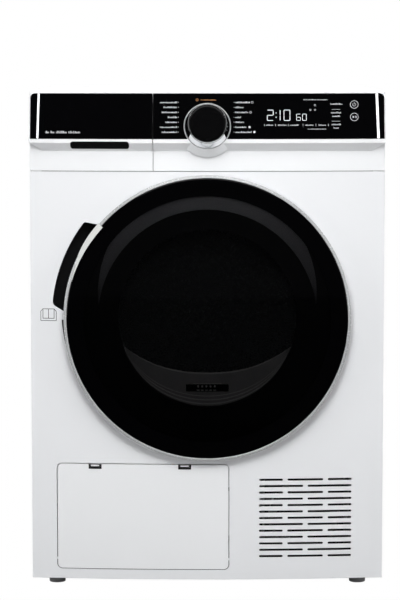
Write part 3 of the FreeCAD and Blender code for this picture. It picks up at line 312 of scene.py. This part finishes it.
# Painted highlight: the face strips glow white by themselves, though they are no lamp.
STRIP_GLOW = glow("strip_painted_glow", (0.92, 0.93, 0.94), 0.75)
PRINT_GREY = surface("print_grey", (0.02, 0.02, 0.022), 0.5, tint=0.1, scale=500)
DISPLAY_LIGHT = glow("display_light", (0.90, 0.93, 0.96), 0.7)
AMBER = glow("print_amber", (0.30, 0.12, 0.03), 0.2)

subparts = {p["node"]: p["material_slot"] for p in frame["record"]["subparts"]}
for node_name, node_object in frame["nodes"].items():
    slot_name = subparts[node_name]
    node_object.data.materials.clear()
    node_object.data.materials.append(MATERIALS[slot_name])


# ---- mesh helpers ----------------------------------------------------------------------------
def piece(name, verts, faces, body, material, smooth=35):
    """One visible mesh on a body, smooth but for edges sharper than smooth degrees."""
    mesh = bpy.data.meshes.new(name)
    mesh.from_pydata([tuple(v) for v in verts], [], faces)
    mesh.validate()
    tidy = bmesh.new()
    tidy.from_mesh(mesh)
    bmesh.ops.recalc_face_normals(tidy, faces=tidy.faces)
    tidy.to_mesh(mesh)
    tidy.free()
    obj = bpy.data.objects.new(name, mesh)
    bpy.context.scene.collection.objects.link(obj)
    mesh.materials.append(material)
    for polygon in mesh.polygons:
        polygon.use_smooth = True
    mesh.set_sharp_from_angle(angle=math.radians(smooth))
    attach(obj, body)
    return obj


def turned(name, profile, place, body, material, count=192, smooth=35):
    """A closed outline of (radius, out) points turned about an axis; place maps to space."""
    verts = []
    faces = []
    n = len(profile)
    for i in range(count):
        angle = 2 * math.pi * i / count
        for r, out in profile:
            verts.append(place(r, angle, out))
    for i in range(count):
        j = (i + 1) % count
        for k in range(n):
            m = (k + 1) % n
            faces.append((i * n + k, i * n + m, j * n + m, j * n + k))
    return piece(name, verts, faces, body, material, smooth)


def lofted(name, outlines, body, material):
    """Closed outlines with equally many points, joined in a row and capped at both ends."""
    rows, n = len(outlines) - 1, len(outlines[0])
    verts = [point for outline in outlines for point in outline]
    faces = []
    for i in range(rows):
        for k in range(n):
            m = (k + 1) % n
            faces.append((i * n + k, i * n + m, (i + 1) * n + m, (i + 1) * n + k))
    faces += [tuple(range(n)), tuple(reversed(range(rows * n, rows * n + n)))]
    return piece(name, verts, faces, body, material)


def door_point(r, angle, out):
    """out is measured forward from the door ring's front edge."""
    return Vector((r * math.cos(angle), RING_FRONT - out, DOOR_Z + r * math.sin(angle)))


class Flat:
    """Flat shapes drawn in millimetres of width and height, then laid on a surface."""

    BACK = 0.02 * MM         # a print's back skin, just off the surface

    def __init__(self):
        self.verts = []
        self.faces = []

    def polygon(self, points):
        base = len(self.verts)
        self.verts += points
        self.faces.append(tuple(range(base, base + len(points))))

    def bar(self, x0, x1, z0, z1):
        self.polygon([(x0, z0), (x1, z0), (x1, z1), (x0, z1)])

    def stroke(self, a, b, width):
        dx, dz = b[0] - a[0], b[1] - a[1]
        length = math.hypot(dx, dz)
        nx, nz = -dz / length * width / 2, dx / length * width / 2
        self.polygon([(a[0] + nx, a[1] + nz), (b[0] + nx, b[1] + nz),
                      (b[0] - nx, b[1] - nz), (a[0] - nx, a[1] - nz)])

    def arc(self, x, z, r, width, a0=0, a1=360, count=40):
        for i in range(count):
            p, q = (math.radians(a0 + (a1 - a0) * (i + s) / count) for s in (0, 1))
            inner, outer = r - width / 2, r + width / 2
            self.polygon([(x + inner * math.cos(p), z + inner * math.sin(p)),
                          (x + outer * math.cos(p), z + outer * math.sin(p)),
                          (x + outer * math.cos(q), z + outer * math.sin(q)),
                          (x + inner * math.cos(q), z + inner * math.sin(q))])

    def dot(self, x, z, r, count=16):
        angles = [2 * math.pi * i / count for i in range(count)]
        self.polygon([(x + r * math.cos(a), z + r * math.sin(a)) for a in angles])

    def blurb(self, x0, x1, z, height, rng):
        """A row of small upright marks that stands for a word and spells nothing."""
        x = x0
        while x < x1 - 0.5:
            width = rng.choice((0.55, 0.9, 1.3))
            top = height * rng.choice((0.62, 0.62, 0.8, 1.0))
            self.bar(x, min(x + width, x1), z - height / 2, z - height / 2 + top)
            x += width + rng.choice((0.55, 0.7))

    def lay(self, name, place, body, material, lift=0.12):
        """Solid print: a front skin, a back skin and the edges between them."""
        n = len(self.verts)
        verts = [place(x * MM, z * MM, lift * MM) for x, z in self.verts]
        verts += [place(x * MM, z * MM, self.BACK) for x, z in self.verts]
        faces = []
        for loop in self.faces:
            faces.append(loop)
            faces.append(tuple(i + n for i in reversed(loop)))
            for a, b in zip(loop, loop[1:] + loop[:1]):
                faces.append((b, a, a + n, b + n))
        return piece(name, verts, faces, body, material, 30)


# ---- console print ---------------------------------------------------------------------------
FACE_TOP = FACE_Z1 / MM
SEGMENTS = {"0": "abcdef", "1": "bc", "2": "abdeg", "6": "acdefg"}


def digit(flat, value, x, z, width, height, pen):
    """One seven-segment figure with its lower left corner at x, z."""
    half = height / 2
    ends = {"a": ((0, height), (width, height)), "b": ((width, half), (width, height)),
            "c": ((width, 0), (width, half)), "d": ((0, 0), (width, 0)),
            "e": ((0, 0), (0, half)), "f": ((0, half), (0, height)),
            "g": ((0, half), (width, half))}
    for key in SEGMENTS[value]:
        (ax, az), (bx, bz) = ends[key]
        trim = pen * 0.6     # gap at a segment's ends
        if az == bz:
            flat.stroke((x + ax + trim, z + az), (x + bx - trim, z + bz), pen)
        else:
            flat.stroke((x + ax, z + az + trim), (x + bx, z + bz - trim), pen)


def console_print():
    """Marks in place of the words beside the knob and the display, figures and symbols."""
    rng = random.Random(7)
    white = Flat()
    top = FACE_TOP - 15.5
    row_pitch = 8.6
    left_starts = (-79, -73, -76, -66, -70, -79, -76)
    right_ends = (71, 60, 68, 57, 61, 66, 74)
    for row in range(7):
        z = top - row_pitch * row
        white.blurb(left_starts[row], -50.5, z, 3.0, rng)
        white.dot(-48.4, z, 0.55)
        white.dot(44.8, z, 0.55)
        white.blurb(47, right_ends[row], z, 3.0, rng)
        if row in (0, 2):
            white.arc(right_ends[row] + 4, z, 1.7, 0.5, count=20)
        if row in (5, 6):
            white.dot(right_ends[row] + 4.5, z, 2.0)
    label_z = FACE_TOP - 55
    for x0, x1 in ((98, 110), (118, 132), (138, 152), (164, 178), (186, 198)):
        white.blurb(x0, x1, label_z, 2.4, rng)
    for x in (95, 113.5, 135, 159.5, 181, 202):
        white.bar(x, x + 0.6, label_z - 2, label_z + 2)
    white.blurb(161, 202, FACE_TOP - 11, 1.7, rng)
    white.blurb(168, 199, FACE_TOP - 62, 1.6, rng)
    for x, z in ((180, 20.7), (172.3, 28.8), (180, 28.8)):
        white.arc(x, FACE_TOP - z, 1.3, 0.5, count=16)
    for x0, x1, z in ((206, 226, 18.5), (207, 224, 33.6), (209, 222, 39.6), (208, 224, 54),
                      (211, 220, 60)):
        white.blurb(x0, x1, FACE_TOP - z, 2.7, rng)
    for z in (28, 48.5):
        white.bar(208, 222, FACE_TOP - z - 0.25, FACE_TOP - z + 0.25)
    for z in (19.5, 41.2):
        white.arc(246, FACE_TOP - z, 6.6, 0.8, count=48)
    white.arc(246, FACE_TOP - 19.5, 2.7, 0.7, -230, 50, count=24)
    white.bar(245.65, 246.35, FACE_TOP - 19.2, FACE_TOP - 15.8)
    white.polygon([(243.2, FACE_TOP - 43.4), (243.2, FACE_TOP - 39.0), (246.2, FACE_TOP - 41.2)])
    for x in (247.2, 249.0):
        white.bar(x, x + 0.8, FACE_TOP - 43.2, FACE_TOP - 39.2)
    white.lay("console_print", print_point, "cabinet", PRINT_GLOW_WHITE)

    shown = Flat()
    base = FACE_TOP - 47
    for value, x in (("2", 100), ("1", 111.5), ("0", 128)):
        digit(shown, value, x, base, 10.0, 18.0, 0.75)
    for z in (5.5, 13):
        shown.dot(114.8, base + z, 0.8)
    for value, x in (("6", 149), ("0", 159)):
        digit(shown, value, x, base, 6.5, 11, 0.6)
    shown.lay("display_figures", print_point, "cabinet", DISPLAY_LIGHT)

    amber = Flat()
    amber.blurb(-11, 15, FACE_TOP - 11.2, 2.2, rng)
    amber.arc(-17, FACE_TOP - 11.2, 1.9, 0.8, count=20)
    amber.lay("programme_print_amber", print_point, "cabinet", AMBER)


def drawer_print():
    """Marks in place of the words on the drawer's front."""
    rng = random.Random(3)
    flat = Flat()
    for x0, x1 in ((-271, -265), (-262, -256), (-253, -235), (-232, -212)):
        flat.blurb(x0, x1, FACE_TOP - 67.5, 4.2, rng)
    flat.lay("drawer_print", print_point, "drawer", PRINT_GLOW_WHITE)


def face_strip(name, x_bottom, x_top, width, body):
    """A raised inlay that runs up the black face; its glowing white is a painted highlight."""
    z0, z1 = FACE_Z0 + 0.8 * MM, FACE_Z1 - 0.6 * MM
    section = ((-0.5, 0.02), (-0.42, 0.45), (0, 0.7), (0.42, 0.45), (0.5, 0.02))
    rows = 12
    outlines = []
    for i in range(rows + 1):
        t = i / rows
        x = (x_bottom + (x_top - x_bottom) * t) * MM
        outlines.append([face_point(x + s * width * MM, z0 + (z1 - z0) * t, lift * MM)
                         for s, lift in section])
    lofted(name, outlines, body, STRIP_GLOW)


console_print()
drawer_print()
face_strip("console_strip_right", 286.6, 284.2, 4.0, "cabinet")
face_strip("console_strip_left", -284.4, -282.8, 3.2, "drawer")


# ---- door ------------------------------------------------------------------------------------
def door_pane():
    """The domed outer pane with a ground rim, finely turned."""
    rim = PANE_R / MM
    front, back = 0.5, -3.5
    ground = 1.5             # radius of the rim's rounding
    outline = []

    def skin(r, base):
        """A point of the dome, kept just off the axis."""
        outline.append((max(r, 0.05) * MM, (base + 14.0 * (1 - (r / rim) ** 2)) * MM))

    for i in range(25):
        skin((rim - 1.8) * i / 24, front)
    for angle in (70, 45, 20, 0):
        a = math.radians(angle)
        outline.append(((rim - ground + ground * math.cos(a)) * MM,
                        (-0.9 + ground * math.sin(a)) * MM))
    outline.append((rim * MM, -3.2 * MM))
    for i in range(12):
        skin((rim - 4.0) * (1 - i / 11), back)
    pane = turned("door_pane_smooth", outline, door_point, "door",
                  MATERIALS["door_pane"], count=256, smooth=40)
    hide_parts("door_glass")


def painted_light_grey(name, low, high, z_low, z_high):
    """Matt grey that brightens between two heights: painted light."""
    material = surface(name, (high, high, high * 1.02), 0.5, tint=0.15, scale=30, bump=0.08)
    tree = material.node_tree
    coords = tree.nodes.new("ShaderNodeTexCoord")
    split = tree.nodes.new("ShaderNodeSeparateXYZ")
    tree.links.new(coords.outputs["Object"], split.inputs["Vector"])
    climb = ranged(tree, split.outputs["Z"], 0.0, 1.0, z_low, z_high)
    tone = mixed(tree, climb, (low, low, low * 1.02), (high, high, high * 1.02))
    tree.links.new(tone, tree.nodes["Principled BSDF"].inputs["Base Color"])
    return material


def window_reflection_arc():
    """Painted reflection: dark arc behind the pane's upper half, lighter upwards."""
    grey = painted_light_grey("window_reflection_grey", 0.02, 0.14, DOOR_Z + 0.02, DOOR_Z + 0.19)
    inner = 184
    section = ((inner, -3.55), (186, -2.7), (204, -2.9), (209, -3.55))
    rows = 72
    outlines = []
    for i in range(rows + 1):
        t = i / rows
        angle = math.radians(8 + 164 * t)
        ends = min(1.0, 5 * min(t, 1 - t) + 0.04)     # tapers to both ends
        outlines.append([door_point((inner + (r - inner) * ends) * MM, angle, out * MM)
                         for r, out in section])
    lofted("window_painted_reflection_arc", outlines, "door", grey)


def window_sill():
    """Dark moulded crescent in the window's lower part, with arched ribs and a slotted grip."""
    rows = 48
    rim_r = 149.2

    def edge(t, share):
        """From the rim, share 0, to the crescent's upper curve, share 1."""
        angle = math.radians(-163 + 146 * t)
        rim_x, rim_z = rim_r * math.cos(angle), rim_r * math.sin(angle)
        top_z = max(-92 + 46 * abs(rim_x / 143) ** 2.4, rim_z)
        return rim_x, rim_z + (top_z - rim_z) * share

    def band(name, low, high, out, thick, colour):
        """A strip of the crescent between two shares of its height."""
        outlines = []
        for i in range(rows + 1):
            corners = ((low, out), (low, out - thick), (high, out - thick), (high, out))
            outlines.append([])
            for share, depth in corners:
                x, z = edge(i / rows, share)
                outlines[-1].append(Vector((x * MM, RING_FRONT - depth * MM, DOOR_Z + z * MM)))
        lofted(name, outlines, "door", colour)

    sill = surface("window_sill_grey", (0.12, 0.118, 0.113), 0.5, tint=0.35, scale=40, bump=0.1)
    # Painted highlight: ribs and the grip's slot marks are lighter than the sill.
    rib_highlight = surface("window_rib_highlight_grey", (0.26, 0.255, 0.245), 0.4, tint=0.3, scale=60, bump=0.1)
    band("window_sill", 0.0, 1.0, -12.0, 3.0, sill)
    for index, (low, high) in enumerate(((0.05, 0.09), (0.17, 0.20), (0.29, 0.31), (0.96, 1.0))):
        band("window_sill_rib_%d" % index, low, high, -11.2, 0.7, rib_highlight)

    grip_back, grip_thick = 11.1, 0.6

    def on_sill(x, z, lift):
        return Vector((x, RING_FRONT + grip_back * MM - lift, DOOR_Z + z))

    grip = Flat()
    grip.bar(-36, 36, -124, -112)
    grip.lay("window_sill_grip", on_sill, "door", DEEP_BLACK, grip_thick)
    slots = Flat()
    for x in (-18, -11, -4, 3, 10):
        slots.bar(x, x + 5, -122.5, -121)
        slots.bar(x + 1, x + 4, -117, -113.5)
    slots.bar(-24, 24, -111, -110)

    def on_grip(x, z, lift):
        return on_sill(x, z, lift + grip_thick * MM)

    slots.lay("window_sill_slots", on_grip, "door", rib_highlight, 0.3)


def ring_bead():
    """Polished bead and step that face the door ring."""
    outline = [(236.9, -0.5), (237.1, 0.7), (237.9, 1.3), (238.8, 1.1), (239.4, 0.4),
               (239.9, 0.15), (241.2, 0.15), (241.8, -0.1), (241.95, -0.5)]
    turned("door_ring_bead", [(r * MM, out * MM) for r, out in outline], door_point, "door",
           SATIN_SILVER, count=256, smooth=50)


door_pane()
window_reflection_arc()
window_sill()
ring_bead()


# ---- front panel details ---------------------------------------------------------------------
def manual_sticker():
    """Outlined open-book sign beside the finger pocket."""
    flat = Flat()
    x, z = -269.0, 471.6
    for side in (-1, 1):
        flat.stroke((x, z - 6.5), (x + side * 9.5, z - 6.5), 1.0)
        flat.stroke((x, z + 9.5), (x + side * 9.5, z + 9.5), 1.0)
        flat.stroke((x + side * 9.5, z - 7), (x + side * 9.5, z + 10), 1.0)
        flat.stroke((x + side * 9.5, z + 9.5), (x + side * 13.2, z + 5.5), 0.9)
        flat.stroke((x + side * 13.2, z - 10.5), (x + side * 13.2, z + 5.5), 0.9)
        flat.stroke((x, z - 10.5), (x + side * 13.2, z - 10.5), 0.9)
    flat.stroke((x, z - 6.5), (x, z + 9.5), 1.0)
    flat.lay("manual_sticker_print", panel_point, "cabinet", PRINT_GREY)


def upright(x, back):
    """Places points on a flat upright plane that lies back mm behind the panel at x."""
    def place(px, pz, lift):
        return Vector((px, PANEL_Y + bow(x * MM) + back * MM - lift, pz))
    return place


def latch_shadow(side, x):
    """Painted shade: a dark sheet behind a hatch tab's notch."""
    body = "hatch_latch_" + side
    flat = Flat()
    flat.bar(x - 12, x + 12, HATCH_TOP - 9, HATCH_TOP - 0.6)
    flat.lay(body + "_liner", upright(x, 4.15), body,
             MATERIALS["dark_plastic"], 0.5)


def grip_shade_tray():
    """Black tray behind the drawer's finger slot; the black is painted shade."""
    section = ((3.0, 752.4), (12.0, 758.0), (17.6, 762.4), (17.6, 766.2), (16.2, 766.2),
               (16.2, 763.0), (11.0, 759.2), (2.0, 753.6))
    left, length = -231.0, 101.6
    rows = 16
    outlines = []
    for i in range(rows + 1):
        x = left + length * i / rows
        outlines.append([panel_point(x * MM, z * MM, out * MM) for out, z in section])
    lofted("drawer_grip_liner", outlines, "drawer", DEEP_BLACK)


def latch_recess(side, x):
    """Painted shade: black sheets in the recess round a hatch tab and round its finger plate."""
    top = HATCH_TOP
    inlay = Flat()
    inlay.bar(x - 11.0, x - 8.2, top - 8.2, top)
    inlay.bar(x + 8.2, x + 11.0, top - 8.2, top)
    inlay.bar(x - 8.2, x + 8.2, top - 8.2, top - 5.95)
    inlay.lay("hatch_recess_shade_" + side, panel_point, "hatch", DEEP_BLACK, 0.3)
    border = Flat()
    border.bar(x - 8.4, x - 7.0, top - 5.4, top - 0.1)
    border.bar(x + 7.0, x + 8.4, top - 5.4, top - 0.1)
    border.bar(x - 7.0, x + 7.0, top - 5.4, top - 3.4)
    border.bar(x - 7.0, x + 7.0, top - 0.9, top - 0.1)
    border.lay("hatch_tab_border_shade_" + side, upright(x, -2.2), "hatch_latch_" + side,
               DEEP_BLACK, 0.15)


def handle_lip():
    """Bright chamfer of the door's edge inside the finger pocket, tapering downwards."""
    rows = 40
    outlines = []
    for i in range(rows + 1):
        t = i / rows
        angle = math.radians(138.5 + 26.0 * i / rows)
        width = 10.2 * max(0.03, 1 - t ** 2.2)
        inner = 236.4 - 3.0 * (1 - t)
        section = ((inner, 1.5), (inner + width * 0.5, 1.35), (inner + width, -0.3),
                   (inner + width, -5.0), (inner, -0.4))
        outlines.append([door_point(r * MM, angle, out * MM) for r, out in section])
    satin = surface("satin_rim", (0.66, 0.67, 0.65), 0.35, 0.0, tint=0.12, scale=45,
                    rough_spread=0.15, grain=500, bump=0.03, coat=0.4)
    lofted("door_handle_lip", outlines, "door", satin)


def pocket_shadow():
    """Painted shadow: a dark crescent along the ring, under the finger pocket."""
    flat = Flat()
    count = 20
    for i in range(count):
        corners = []
        for angle, side in ((i, 0), (i, 1), (i + 1, 1), (i + 1, 0)):
            share = angle / count
            a = math.radians(181.0 + 17.0 * share)
            r = 242.2 + side * 4.2 * max(0.02, 1 - share) ** 0.7
            corners.append((r * math.cos(a), DOOR_Z / MM + r * math.sin(a)))
        flat.polygon(corners)
    flat.lay("pocket_lower_painted_shadow", panel_point, "cabinet", DEEP_BLACK, 0.15)


manual_sticker()
for latch_detail in (latch_shadow, latch_recess):
    for latch_side, latch_x in LATCHES.items():
        latch_detail(latch_side, latch_x)
grip_shade_tray()
handle_lip()
pocket_shadow()


# ---- knob ------------------------------------------------------------------------------------
def ring_section(r_in, r_out, low, high, steps=5):
    """A flat ring's outline with a rounded front."""
    mid, half = (r_in + r_out) / 2, (r_out - r_in) / 2
    rise = min(half, high - low)
    points = [(r_in * MM, low * MM)]
    for i in range(steps + 1):
        a = math.pi * (1 - i / steps)
        points.append(((mid + half * math.cos(a)) * MM, (high - rise + rise * math.sin(a)) * MM))
    points.append((r_out * MM, low * MM))
    return points


def knob():
    """Bright rings round the cap and at the foot of the skirt."""
    turned("knob_cap_ring", ring_section(31.0, 32.4, 18, 24.6), knob_point, "knob",
           MATERIALS["chrome"])
    turned("knob_foot_ring", ring_section(38.3, 38.9, 1.2, 1.9), knob_point, "knob",
           SATIN_SILVER)


knob()


# ---- floor, light and camera -----------------------------------------------------------------
FLOOR_HALF = 8               # metres


def stage():
    """Floor that is white to the camera, black to mirrors and grey to other light."""
    half = FLOOR_HALF
    mesh = bpy.data.meshes.new("studio_floor")
    mesh.from_pydata([(-half, -half, 0), (half, -half, 0), (half, half, 0), (-half, half, 0)],
                     [], [(0, 1, 2, 3)])
    floor = bpy.data.objects.new("studio_floor", mesh)
    bpy.context.scene.collection.objects.link(floor)
    paper, tree, shader = new_material("studio_paper")
    shader.inputs["Base Color"].default_value = (0.30, 0.30, 0.30, 1)
    shader.inputs["Roughness"].default_value = 0.9
    shader.inputs["Specular IOR Level"].default_value = 0.0
    white = tree.nodes.new("ShaderNodeEmission")
    white.inputs["Strength"].default_value = 1.0
    dark = tree.nodes.new("ShaderNodeEmission")
    dark.inputs["Strength"].default_value = 0.0
    ray = tree.nodes.new("ShaderNodeLightPath")
    seen = tree.nodes.new("ShaderNodeMixShader")
    tree.links.new(ray.outputs["Is Camera Ray"], seen.inputs["Fac"])
    tree.links.new(shader.outputs["BSDF"], seen.inputs[1])
    tree.links.new(white.outputs["Emission"], seen.inputs[2])
    mirrored = tree.nodes.new("ShaderNodeMixShader")
    tree.links.new(ray.outputs["Is Glossy Ray"], mirrored.inputs["Fac"])
    tree.links.new(seen.outputs["Shader"], mirrored.inputs[1])
    tree.links.new(dark.outputs["Emission"], mirrored.inputs[2])
    tree.links.new(mirrored.outputs["Shader"], tree.nodes["Material Output"].inputs["Surface"])
    mesh.materials.append(paper)
    floor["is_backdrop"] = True


def area(name, place, target, width, height, power):
    """A rectangular lamp that looks from place to target."""
    light = bpy.data.lights.new(name, "AREA")
    light.shape = "RECTANGLE"
    light.size = width
    light.size_y = height
    light.energy = power
    lamp = bpy.data.objects.new(name, light)
    lamp.location = place
    lamp.rotation_euler = (Vector(target) - Vector(place)).to_track_quat("-Z", "Y").to_euler()
    bpy.context.scene.collection.objects.link(lamp)
    return lamp


def studio():
    """World and lamps: white to the camera, with a dark room behind it for reflections."""
    world = bpy.data.worlds.new("studio")
    world.use_nodes = True
    tree = world.node_tree
    coords = tree.nodes.new("ShaderNodeTexCoord")
    split = tree.nodes.new("ShaderNodeSeparateXYZ")
    tree.links.new(coords.outputs["Generated"], split.inputs["Vector"])
    depth = ranged(tree, split.outputs["Y"], 0.0, 1.0, -0.45, 0.25)
    height = ranged(tree, split.outputs["Z"], 0.0, 1.0, 0.66, 0.9)
    both = tree.nodes.new("ShaderNodeMath")
    both.operation = "MAXIMUM"
    tree.links.new(depth, both.inputs[0])
    tree.links.new(height, both.inputs[1])
    background = tree.nodes["Background"]
    room = mixed(tree, both.outputs["Value"], (0.012, 0.012, 0.013), (1.0, 1.0, 1.0))
    ray = tree.nodes.new("ShaderNodeLightPath")
    seen = tree.nodes.new("ShaderNodeMix")
    seen.data_type = "RGBA"
    seen.inputs["B"].default_value = (1, 1, 1, 1)
    tree.links.new(ray.outputs["Is Camera Ray"], seen.inputs["Factor"])
    tree.links.new(room, seen.inputs["A"])
    tree.links.new(seen.outputs["Result"], background.inputs["Color"])
    background.inputs["Strength"].default_value = 1.0
    bpy.context.scene.world = world
    area("key_overhead", (0.0, -3.0, 3.1), (0, -0.2, 0.35), 3.2, 1.2, 47)
    area("fill_left", (-3.2, -2.4, 1.3), (0, 0, 0.45), 1.0, 2.4, 24)
    area("fill_right", (3.2, -2.4, 1.3), (0, 0, 0.45), 1.0, 2.4, 24)
    front = area("front_wash", (0.0, -5.6, 0.9), (0, 0, 0.42), 3.0, 1.8, 32)
    front.visible_glossy = False
    area("back_wash", (0.0, 4.5, 2.2), (0, 0, 0.5), 2.5, 1.5, 40)
    glimmer = area("drum_glimmer", (0.0, -1.6, 1.2), (0, -0.2, 0.36), 0.4, 0.4, 10)
    glimmer.visible_glossy = False


CAMERA_DISTANCE = 4.005      # metres from the front panel
CAMERA_HEIGHT = 0.908        # metres above the floor
CAMERA_PITCH = 5.85          # degrees down
SENSOR = 36                  # mm
FOCAL = 143.2                # mm
SHIFT_RIGHT = 0.0122         # how far the picture's contents move right, of its longer side


def camera():
    view = bpy.data.cameras.new("camera")
    view.lens = FOCAL
    view.sensor_width = SENSOR
    view.shift_x = -SHIFT_RIGHT
    view.clip_end = 50
    eye = bpy.data.objects.new("camera", view)
    eye.location = (0, PANEL_Y - CAMERA_DISTANCE, CAMERA_HEIGHT)
    eye.rotation_euler = (math.radians(90 - CAMERA_PITCH), 0, 0)
    bpy.context.scene.collection.objects.link(eye)
    bpy.context.scene.camera = eye


stage()
studio()
camera()
bpy.context.scene.view_settings.view_transform = "Standard"

sizes = [[list(corner) for corner in corners] for corners in (CAD_BOX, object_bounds())]
